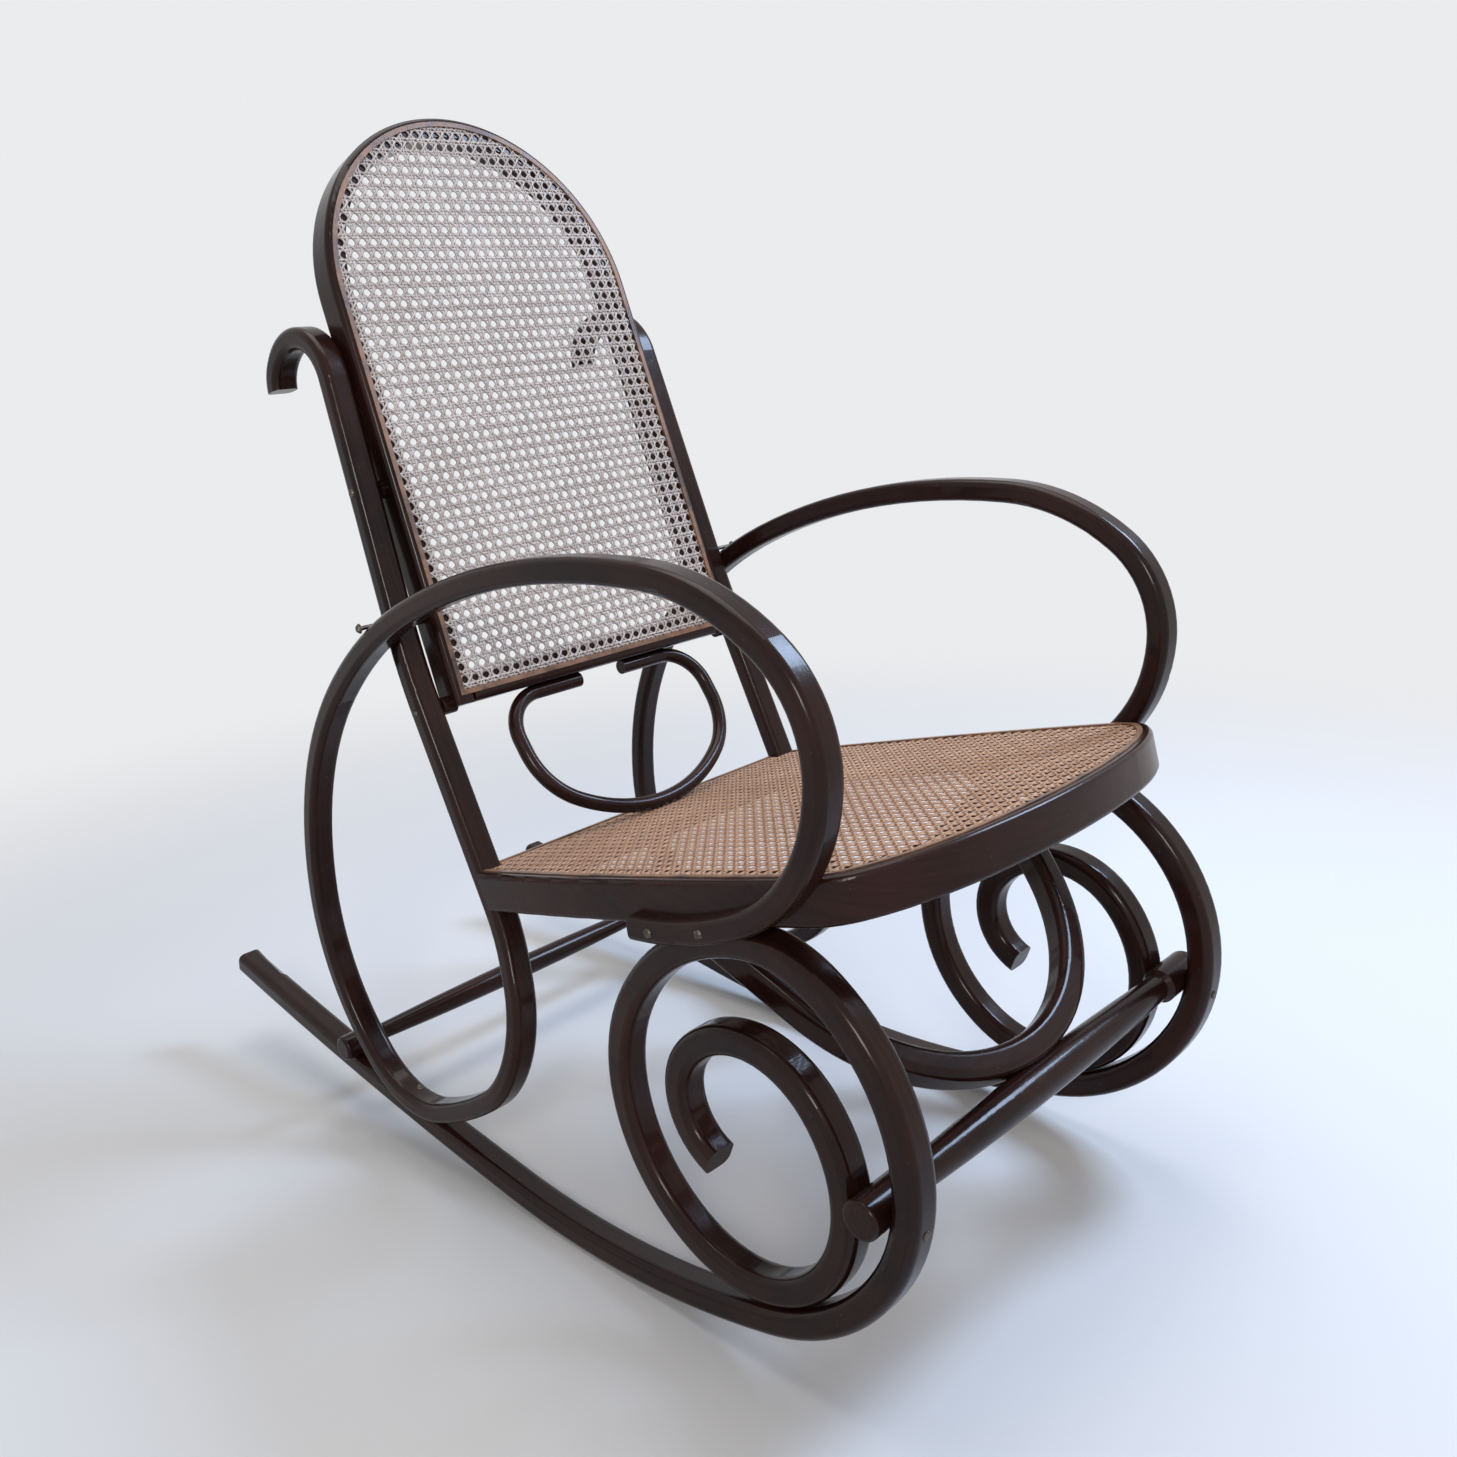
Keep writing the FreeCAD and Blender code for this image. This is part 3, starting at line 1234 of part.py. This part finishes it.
for label, bundle in (("back_spline", back_bead),
                      ("arm_screws", arm_screws), ("crossing_screws", crossing_screws),
                      ("post_back_screws", post_back_screws),
                      ("loop_runner_screws", loop_screws),
                      ("scroll_seat_screws", scroll_screws), ("seat_dowels", seat_dowels),
                      ("back_dowels", back_dowels), ("front_stretcher_screws", front_screws),
                      ("rear_stretcher_screws", rear_screws), ("brace_screw", brace_screw)):
    bundle.Label = label
    nodes[label] = bundle
doc.recompute()

# ---------------------------------------------------------------------------
# Checks and export
# ---------------------------------------------------------------------------
for thing in doc.Objects:
    if "Invalid" in thing.State or "Error" in thing.State:
        raise RuntimeError("failed feature: " + thing.Name)
os.makedirs("parts", exist_ok=True)
for label, thing in nodes.items():
    shape = thing.Shape
    if shape.isNull() or not shape.isValid():
        raise RuntimeError("bad shape: " + label)
    if not shape.Solids:
        raise RuntimeError("no solid: " + label)
    shape.exportStep("parts/%s.step" % label)
    print(label, len(shape.Solids), round(shape.Volume / 1000.0, 1))
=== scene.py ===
"""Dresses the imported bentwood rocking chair.

The wooden pieces, screws and beads keep their shape and get a finish. The two plates that stand
for the cane are replaced by woven strands. A pale floor, a pale background and soft light follow.
"""

import bpy
import numpy as np
from mathutils import Matrix, Vector
from mathutils.bvhtree import BVHTree


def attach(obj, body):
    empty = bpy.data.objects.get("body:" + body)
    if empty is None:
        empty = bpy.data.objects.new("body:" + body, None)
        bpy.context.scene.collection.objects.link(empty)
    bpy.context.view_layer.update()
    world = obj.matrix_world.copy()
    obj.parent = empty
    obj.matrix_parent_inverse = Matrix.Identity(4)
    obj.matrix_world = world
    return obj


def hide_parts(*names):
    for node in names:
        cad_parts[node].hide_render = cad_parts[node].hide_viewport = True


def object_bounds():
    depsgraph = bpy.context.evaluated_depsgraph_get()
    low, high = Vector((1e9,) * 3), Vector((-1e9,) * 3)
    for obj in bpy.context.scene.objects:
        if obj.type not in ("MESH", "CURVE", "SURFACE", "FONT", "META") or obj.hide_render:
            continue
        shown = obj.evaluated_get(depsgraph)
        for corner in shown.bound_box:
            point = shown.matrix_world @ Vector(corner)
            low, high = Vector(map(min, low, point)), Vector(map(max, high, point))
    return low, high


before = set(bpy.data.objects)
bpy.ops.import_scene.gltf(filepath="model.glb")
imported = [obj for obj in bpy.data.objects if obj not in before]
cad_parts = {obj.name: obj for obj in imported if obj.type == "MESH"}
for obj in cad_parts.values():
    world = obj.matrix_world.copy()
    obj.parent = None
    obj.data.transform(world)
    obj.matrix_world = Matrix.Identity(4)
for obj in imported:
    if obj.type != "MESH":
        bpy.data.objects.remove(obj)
for spare in ("Cube", "Light", "Camera"):
    if spare in bpy.data.objects:
        bpy.data.objects.remove(bpy.data.objects[spare])
cad_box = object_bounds()

# The weave, in metres.
PITCH = 0.0127  # from one hole of the cane to the next
PAIR = 0.0016  # from the middle of a pair to each of its strands
WIDE = 0.0025  # a strand's width
CROWN = 0.0007  # from its middle up to its crown, and down to its underside
PAIR_WAVE = 0.0003  # how far the strands of a pair go over and under
DIAGONAL_WAVE = 0.0007  # the same for a diagonal
SINK = 0.0012  # from the frame's face down to the middle of the weave
DRIFT = 0.00012  # how unevenly a strand lies, from side to side

# The floor and the background.
PAPER = (0.83, 0.835, 0.85, 1)  # the pale background, as the eye and a mirror see it
FADE = (0.75, 2.3)  # the floor turns into that background between these distances, in metres
FLOOR_REACH = 14  # half the floor's width, in metres


def wire(tree, kind, values=(), **settings):
    """A shader node of that kind. values goes to its sockets, as links where one is an output."""
    made = tree.nodes.new("ShaderNode" + kind)
    for name, value in settings.items():
        setattr(made, name, value)
    for socket, value in dict(values).items():
        if isinstance(value, bpy.types.NodeSocket):
            tree.links.new(value, made.inputs[socket])
        else:
            made.inputs[socket].default_value = value
    return made


class Finish:
    """A material under construction, with a Principled shader at its end."""

    def __init__(self, name, **fixed):
        self.material = bpy.data.materials.new(name)
        self.material.use_nodes = True
        self.tree = self.material.node_tree
        self.tree.nodes.clear()
        self.shader = self.tree.nodes.new("ShaderNodeBsdfPrincipled")
        self.end = self.tree.nodes.new("ShaderNodeOutputMaterial")
        self.tree.links.new(self.shader.outputs[0], self.end.inputs["Surface"])
        for socket, value in fixed.items():
            self.shader.inputs[socket.replace("_", " ")].default_value = value

    def node(self, kind, values=(), **settings):
        return wire(self.tree, kind, values, **settings)

    def place(self, scale, turn=(0, 0, 0)):
        """Object coordinates, turned and then scaled."""
        at = self.node("TexCoord").outputs["Object"]
        turned = self.node("Mapping", {"Vector": at, "Rotation": turn})
        return self.node("Mapping", {"Vector": turned.outputs[0], "Scale": scale}).outputs[0]

    def noise(self, at, scale, detail=3.0, rough=0.55, twist=0.0):
        values = {
            "Vector": at,
            "Scale": scale,
            "Detail": detail,
            "Roughness": rough,
            "Distortion": twist,
        }
        return self.node("TexNoise", values).outputs[0]

    def span(self, value, low, high, to_low=0.0, to_high=1.0):
        """value moved from low..high to to_low..to_high, and kept in that."""
        return self.node("MapRange", {0: value, 1: low, 2: high, 3: to_low, 4: to_high}).outputs[0]

    def sum(self, a, b, how="ADD"):
        """a and b added, or joined by another operation."""
        return self.node("Math", {0: a, 1: b}, operation=how).outputs[0]

    def blend(self, share, a, b, how="MIX"):
        """Colour a turned into colour b by share."""
        mix = self.node("Mix", {0: share}, data_type="RGBA", blend_type=how)
        for socket, value in ((6, a), (7, b)):
            if isinstance(value, bpy.types.NodeSocket):
                self.tree.links.new(value, mix.inputs[socket])
            else:
                mix.inputs[socket].default_value = (*value, 1)
        return mix.outputs[2]

    def bump(self, height, strength, depth, under=None):
        """A normal bent by height, on top of another one where under is given."""
        values = {"Height": height, "Strength": strength, "Distance": depth}
        if under is not None:
            values["Normal"] = under
        return self.node("Bump", values).outputs[0]

    def link(self, **sockets):
        """Link outputs to the shader's sockets, and give the finished material."""
        for socket, output in sockets.items():
            self.tree.links.new(output, self.shader.inputs[socket.replace("_", " ")])
        return self.material


def lacquer(name, grain, turn=(0, 0, 0)):
    """Dark stained beech under an old glossy lacquer.

    grain is how tightly the grain is drawn in along each turned axis.
    """
    dark_stain = (0.0065, 0.0030, 0.0030)
    red_stain = (0.029, 0.0095, 0.0070)
    grain_line = (0.047, 0.0150, 0.0100)
    pore = (0.006, 0.003, 0.0028)
    rubbed = (0.115, 0.05, 0.03)
    dust = (0.28, 0.22, 0.19)
    f = Finish(name, Specular_IOR_Level=0.12, Coat_Weight=0.14, Coat_Roughness=0.06)
    round_about = f.place((1, 1, 1))
    fibres = f.place(grain, turn)
    stain = f.noise(round_about, 7, 4, 0.6)
    lines = f.noise(fibres, 1, 5, 0.65, 0.3)
    pores = f.span(f.noise(fibres, 2.7, 2, 0.5), 0.62, 0.72)
    colour = f.blend(f.span(stain, 0.32, 0.7), dark_stain, red_stain)
    colour = f.blend(f.span(lines, 0.38, 0.75, 0, 0.5), colour, grain_line)
    colour = f.blend(f.sum(pores, 0.6, "MULTIPLY"), colour, pore)

    # Along the edges the lacquer is rubbed thinner and browner.
    soft = f.node("Bevel", {"Radius": 0.004}, samples=4).outputs[0]
    true = f.node("NewGeometry").outputs["Normal"]
    flatness = f.node("VectorMath", {0: soft, 1: true}, operation="DOT_PRODUCT").outputs["Value"]
    patchy = f.noise(round_about, 34, 4, 0.7)
    edge = f.span(flatness, 0.985, 0.86)
    worn = f.sum(edge, f.span(patchy, 0.46, 0.68), "MULTIPLY")
    colour = f.blend(f.sum(worn, 0.55, "MULTIPLY"), colour, rubbed)

    # Dust and small scuffs.
    specks = f.span(f.noise(round_about, 420, 2, 0.5), 0.735, 0.79)
    smears = f.span(f.noise(round_about, 17, 5, 0.7), 0.6, 0.78)
    colour = f.blend(f.sum(specks, 0.35, "MULTIPLY"), colour, dust)
    rough = f.span(stain, 0.3, 0.7, 0.17, 0.27)
    rough = f.sum(rough, f.sum(smears, 0.16, "MULTIPLY"))
    rough = f.sum(rough, f.sum(worn, 0.12, "MULTIPLY"))
    wavy = f.bump(f.noise(round_about, 55, 2, 0.5), 0.12, 0.002)
    skin = f.bump(lines, 0.10, 0.0006, wavy)
    return f.link(Base_Color=colour, Roughness=rough, Normal=skin)


def bare_wood(name):
    """Turned beech pins, unstained."""
    f = Finish(name)
    at = f.place((18, 260, 260))
    lines = f.noise(at, 1, 4, 0.6)
    colour = f.blend(f.span(lines, 0.3, 0.7), (0.33, 0.19, 0.1), (0.5, 0.34, 0.2))
    rough = f.span(lines, 0.3, 0.7, 0.5, 0.7)
    return f.link(Base_Color=colour, Roughness=rough, Normal=f.bump(lines, 0.3, 0.0005))


def steel(name):
    """Old screw heads, darkened, with bright scratches."""
    f = Finish(name, Metallic=1.0)
    at = f.place((1, 1, 1))
    tarnish = f.noise(at, 240, 4, 0.6)
    scratch = f.span(f.noise(f.place((900, 90, 900)), 1, 2), 0.62, 0.7)
    colour = f.blend(f.span(tarnish, 0.3, 0.7), (0.03, 0.024, 0.022), (0.14, 0.12, 0.1))
    colour = f.blend(scratch, colour, (0.42, 0.38, 0.34))
    rough = f.span(tarnish, 0.3, 0.7, 0.3, 0.55)
    return f.link(Base_Color=colour, Roughness=rough, Normal=f.bump(tarnish, 0.25, 0.0004))


def bead(name):
    """The split reed glued into the groove round each panel."""
    f = Finish(name, Specular_IOR_Level=0.45)
    at = f.place((1, 1, 1))
    patchy = f.noise(at, 45, 4, 0.65)
    fibres = f.noise(at, 900, 3, 0.6, 1.5)
    colour = f.blend(f.span(patchy, 0.32, 0.7), (0.105, 0.045, 0.022), (0.33, 0.165, 0.085))
    colour = f.blend(f.span(fibres, 0.5, 0.75, 0, 0.5), colour, (0.42, 0.27, 0.18))
    stained = f.span(f.noise(at, 12, 4, 0.7), 0.52, 0.66)
    colour = f.blend(f.sum(stained, 0.8, "MULTIPLY"), colour, (0.03, 0.014, 0.011))
    rough = f.span(patchy, 0.3, 0.7, 0.32, 0.55)
    return f.link(Base_Color=colour, Roughness=rough, Normal=f.bump(fibres, 0.35, 0.0005))


def cane(name, pale, mid, dark):
    """Split rattan. Each strand has its own tone, lengthwise fibres and a glossy skin, with painted
    shade along its two edges.
    """
    f = Finish(name, Specular_IOR_Level=0.55)
    strand = f.node("Attribute", attribute_name="strand").outputs["Vector"]
    apart = f.node("SeparateXYZ", {0: strand})
    along, across, own = apart.outputs
    drawn_out = {
        0: f.sum(along, 60, "MULTIPLY"),
        1: f.sum(across, 3.5, "MULTIPLY"),
        2: f.sum(own, 90, "MULTIPLY"),
    }
    fibre_at = f.node("CombineXYZ", drawn_out).outputs[0]
    fibres = f.noise(fibre_at, 1.6, 3, 0.6)
    ageing = f.noise(f.place((1, 1, 1)), 9, 4, 0.6)
    colour = f.blend(f.span(own, 0.1, 0.9), pale, mid)
    colour = f.blend(f.span(ageing, 0.42, 0.72, 0, 0.6), colour, mid)
    colour = f.blend(f.span(fibres, 0.5, 0.74, 0, 0.6), colour, dark)
    # Painted shade: each strand turns darker towards its two edges, where its rounded side turns
    # from the light and meets the gaps.
    sides = f.span(f.sum(across, 2, "POWER"), 0.35, 1.0, 0, 0.55)
    colour = f.blend(sides, colour, dark)
    knots = f.span(f.noise(fibre_at, 0.35, 2, 0.5), 0.68, 0.74)
    colour = f.blend(f.sum(knots, 0.6, "MULTIPLY"), colour, dark)
    rough = f.span(fibres, 0.3, 0.75, 0.3, 0.58)
    return f.link(Base_Color=colour, Roughness=rough, Normal=f.bump(fibres, 0.3, 0.0003))


def seen_directly(tree):
    """A socket that is 1 for camera, glossy and transmission rays, and 0 for the light's own."""
    path = wire(tree, "LightPath").outputs
    seen = path["Is Camera Ray"]
    for ray in ("Is Glossy Ray", "Is Transmission Ray"):
        seen = wire(tree, "Math", {0: seen, 1: path[ray]}, operation="MAXIMUM").outputs[0]
    return seen


def floor_finish(name, middle):
    """Pale matt paint that turns into the background away from the middle of the floor."""
    f = Finish(name, Specular_IOR_Level=0.3)
    at = f.place((1, 1, 1))
    cloudy = f.noise(at, 0.8, 3, 0.5)
    fine = f.noise(at, 160, 3, 0.6)
    colour = f.blend(f.span(cloudy, 0.3, 0.7), (0.78, 0.775, 0.77), (0.81, 0.805, 0.80))
    rough = f.span(fine, 0.3, 0.7, 0.6, 0.72)
    f.link(Base_Color=colour, Roughness=rough, Normal=f.bump(fine, 0.06, 0.0006))
    here = f.node("NewGeometry").outputs["Position"]
    away = f.node("VectorMath", {0: here, 1: middle}, operation="DISTANCE").outputs["Value"]
    near, far = FADE
    fade = f.node("MapRange", {0: away, 1: near, 2: far}, interpolation_type="SMOOTHSTEP")
    share = f.sum(fade.outputs[0], seen_directly(f.tree), "MULTIPLY")
    paper = f.node("Emission", {0: PAPER}).outputs[0]
    either = f.node("MixShader", {0: share, 1: f.shader.outputs[0], 2: paper})
    f.tree.links.new(either.outputs[0], f.end.inputs["Surface"])
    return f.material


def strand_mesh(middle, aside, out, own, base):
    """Corners, tags and faces of one strand along middle, whose first corner is number base.

    Its section is a diamond. The tags are the way along the strand, the place across it from
    -1 to 1, and a number of its own, for its finish.
    """
    left = middle - aside * WIDE / 2
    right = middle + aside * WIDE / 2
    crown = middle + out * CROWN
    under = middle - out * CROWN
    corners = np.stack([left, crown, right, under], axis=1).reshape(-1, 3)
    steps = np.linalg.norm(np.diff(middle, axis=0), axis=1)
    along = np.concatenate([[0], np.cumsum(steps)])
    across = np.tile([-1.0, 0.0, 1.0, 0.5], len(middle))
    tags = np.stack([np.repeat(along, 4) + own, across, np.full(len(corners), own)], axis=1)
    at = base + 4 * np.arange(len(middle) - 1)[:, None]
    last = base + 4 * (len(middle) - 1)
    sides = [at + [k, (k + 1) % 4, (k + 1) % 4 + 4, k + 4] for k in range(4)]
    ends = [[[base + 3, base + 2, base + 1, base]], [[last, last + 1, last + 2, last + 3]]]
    return corners, tags, np.concatenate(sides + ends)


class Panel:
    """The flat plate that a weave takes the place of: its plane, its outline and its lines."""

    def __init__(self, node, faces_to):
        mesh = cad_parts[node].data
        points = np.empty(len(mesh.vertices) * 3)
        mesh.vertices.foreach_get("co", points)
        self.points = points.reshape(-1, 3)
        facing = (p for p in mesh.polygons if p.normal.dot(faces_to) > 0.5)
        wide = max(facing, key=lambda p: p.area)
        self.out = np.array(wide.normal)
        self.u = np.array((1.0, 0.0, 0.0))
        self.v = np.cross(self.out, self.u)
        self.u = np.cross(self.v, self.out)
        self.face = (self.points @ self.out).max()
        self.low = np.array([(self.points @ self.u).min(), (self.points @ self.v).min()])
        self.high = np.array([(self.points @ self.u).max(), (self.points @ self.v).max()])
        self.tree = BVHTree.FromPolygons(
            [v.co for v in mesh.vertices], [p.vertices for p in mesh.polygons]
        )

    def at(self, across, up, height):
        """Points of the weave, height above its middle plane."""
        level = self.face - SINK + height
        return (
            np.multiply.outer(across, self.u)
            + np.multiply.outer(up, self.v)
            + np.multiply.outer(level, self.out)
        )

    def covers(self, across, up):
        """Whether the plate lies under each point."""
        above = self.at(across, up, np.full(len(across), SINK + 0.01))
        down = Vector(-self.out)
        return np.array(
            [self.tree.ray_cast(Vector(p), down, 0.02)[0] is not None for p in above]
        )

    def lines(self, family):
        """Each line of one family as (across, up, height), with the strands going over and under."""
        first = np.floor(self.low / PITCH).astype(int) - 1
        last = np.ceil(self.high / PITCH).astype(int) + 1
        steps = np.array([-PAIR, PAIR, PITCH / 2])
        if family in ("uprights", "crosswise"):
            over = 0 if family == "uprights" else 1
            run = np.concatenate(
                [n * PITCH + steps for n in range(first[1 - over], last[1 - over])]
            )
            signs = np.tile([-1.0, 1.0, 0.0], len(run) // 3)
            for n in range(first[over], last[over]):
                for side in (-1, 1):
                    fixed = np.full(len(run), n * PITCH + side * PAIR)
                    if family == "uprights":
                        yield fixed + PITCH / 2, run, -side * signs * PAIR_WAVE
                    else:
                        yield run + PITCH / 2, fixed, side * signs * PAIR_WAVE
        else:
            lean = 1 if family == "rising" else -1
            across = np.arange(first[0] * 6, last[0] * 6 + 1) * PITCH / 6
            wave = -lean * DIAGONAL_WAVE * np.cos(2 * np.pi * across / PITCH)
            reach = last[0] - first[0]
            for n in range(first[1] - reach, last[1] + reach):
                yield across, lean * across + n * PITCH, wave

    def weave(self, name, family, rng):
        """One family of strands as a mesh object."""
        points, tags, faces = [], [], []
        for across, up, height in self.lines(family):
            near = (up > self.low[1] - PITCH) & (up < self.high[1] + PITCH)
            across, up, height = across[near], up[near], height[near]
            if len(across) < 2:
                continue
            inside = self.covers(across, up)
            own = rng.random()
            edges = np.flatnonzero(np.diff(np.concatenate([[0], inside, [0]])))
            for start, stop in edges.reshape(-1, 2):
                start, stop = max(start - 1, 0), min(stop + 1, len(across))
                if stop - start < 3:
                    continue
                part = slice(start, stop)
                middle = self.at(across[part], up[part], height[part])
                ahead = np.gradient(middle, axis=0)
                ahead /= np.linalg.norm(ahead, axis=1)[:, None]
                aside = np.cross(ahead, self.out)
                aside /= np.linalg.norm(aside, axis=1)[:, None]
                middle = middle + DRIFT * (rng.random(len(middle)) - 0.5)[:, None] * aside
                base = sum(len(p) for p in points)
                made = strand_mesh(middle, aside, self.out, own, base)
                for kept, new in zip((points, tags, faces), made):
                    kept.append(new)
        points, tags, faces = (np.concatenate(x) for x in (points, tags, faces))
        mesh = bpy.data.meshes.new(name)
        mesh.from_pydata(points.tolist(), [], faces.tolist())
        mesh.polygons.foreach_set("use_smooth", np.ones(len(faces), bool))
        mesh.attributes.new("strand", "FLOAT_VECTOR", "POINT").data.foreach_set(
            "vector", tags.ravel()
        )
        mesh.update()
        made = bpy.data.objects.new(name, mesh)
        bpy.context.collection.objects.link(made)
        return made


# Wood, steel and beads: each CAD node keeps its shape and gets its finish.
SEAT_TURN = (-0.22, 0, 0)  # turns the grain into the plane of the seat, in radians
BACK_TURN = (0.31, 0, 0)  # the same for the back
strand_wood = lacquer("lacquer_strands", (210, 9, 9))
seat_wood = lacquer("lacquer_seat", (9, 9, 210), SEAT_TURN)
back_wood = lacquer("lacquer_back", (9, 210, 9), BACK_TURN)
rail_wood = lacquer("lacquer_rails", (9, 200, 200))
finishes = {
    "arm_loop_left": strand_wood,
    "arm_loop_right": strand_wood,
    "runner_scroll_left": strand_wood,
    "runner_scroll_right": strand_wood,
    "seat_hoop": seat_wood,
    "back_hoop": back_wood,
    "hoop_brace": back_wood,
    "deco_loop": back_wood,
    "back_rail": rail_wood,
    "seat_rear_rail": rail_wood,
    "front_stretcher": rail_wood,
    "rear_stretcher": rail_wood,
    "post_spacers": rail_wood,
    "back_spline": bead("bead_back"),
    "seat_spline": bead("bead_seat"),
}
pin = bare_wood("beech_pins")
screw = steel("screw_steel_worn")
for name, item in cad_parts.items():
    finish = finishes.get(name)
    if finish is None:
        finish = pin if "dowels" in name else screw
    for slot in item.material_slots:
        slot.material = finish

# The cane.
rng = np.random.default_rng(7)
panels = {
    "back": (
        Panel("back_cane", Vector((0, -1, 0))),
        cane("cane_back", (0.70, 0.61, 0.55), (0.47, 0.385, 0.335), (0.10, 0.065, 0.05)),
    ),
    "seat": (
        Panel("seat_cane", Vector((0, 0, 1))),
        cane("cane_seat", (0.60, 0.36, 0.225), (0.42, 0.225, 0.13), (0.10, 0.042, 0.024)),
    ),
}
for where, (panel, finish) in panels.items():
    for family in ("uprights", "crosswise", "rising", "falling"):
        strands = panel.weave(where + "_cane_" + family, family, rng)
        strands.data.materials.append(finish)
        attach(strands, "root")
        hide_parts(where + "_cane")

# The floor.
low, high = cad_box
centre = (Vector(low) + Vector(high)) / 2
corners = ((-1, -1), (1, -1), (1, 1), (-1, 1))
ground = bpy.data.meshes.new("floor")
ground.from_pydata(
    [(x * FLOOR_REACH, y * FLOOR_REACH, low[2]) for x, y in corners], [], [(0, 1, 2, 3)]
)
ground.materials.append(floor_finish("floor_paint", (centre.x, centre.y, low[2])))
floor = bpy.data.objects.new("floor", ground)
bpy.context.collection.objects.link(floor)

# Soft daylight.
world = bpy.data.worlds.new("studio")
bpy.context.scene.world = world
world.use_nodes = True
sky = world.node_tree.nodes["Background"]
sky.inputs["Color"].default_value = (0.86, 0.9, 1.0, 1)
sky.inputs["Strength"].default_value = 0.27
paper = wire(world.node_tree, "Background", {"Color": PAPER}).outputs[0]
either = wire(
    world.node_tree,
    "MixShader",
    {0: seen_directly(world.node_tree), 1: sky.outputs[0], 2: paper},
)
world.node_tree.links.new(
    either.outputs[0], world.node_tree.nodes["World Output"].inputs["Surface"]
)


def lamp(name, place, size, power, colour):
    """A rectangular lamp, size wide and tall in metres, that shines on the chair's middle."""
    light = bpy.data.lights.new(name, "AREA")
    light.shape = "RECTANGLE"
    light.size, light.size_y = size
    light.energy = power
    light.color = colour
    item = bpy.data.objects.new(name, light)
    item.location = place
    item.rotation_euler = (centre - Vector(place)).to_track_quat("-Z", "Y").to_euler()
    bpy.context.collection.objects.link(item)


lamp("overhead", (0.2, 0.4, 3.6), (2.4, 2.4), 52, (1.0, 0.98, 0.95))
lamp("key", (-2.4, -2.6, 2.3), (0.9, 0.9), 44, (1.0, 0.96, 0.92))
lamp("window", (1.75, -1.0, 2.35), (0.7, 1.0), 62, (0.55, 0.72, 1.0))

# The camera: where it stands, where it looks, and which way is up for it.
CAMERA_PLACE = (-0.9079, -1.05642, 0.84977)
CAMERA_AHEAD = (0.6748, 0.68248, -0.28114)
CAMERA_UP = (0.2477, 0.14944, 0.95731)
camera = bpy.data.cameras.new("camera")
camera.lens = 33.22
camera.sensor_width = 36.0
ahead = Vector(CAMERA_AHEAD).normalized()
right = ahead.cross(Vector(CAMERA_UP)).normalized()
up = right.cross(ahead)
turned = Matrix((right, up, -ahead)).transposed().to_4x4()
eye = bpy.data.objects.new("camera", camera)
eye.matrix_world = Matrix.Translation(CAMERA_PLACE) @ turned
bpy.context.collection.objects.link(eye)
bpy.context.scene.camera = eye
bpy.context.scene.view_settings.view_transform = "Standard"
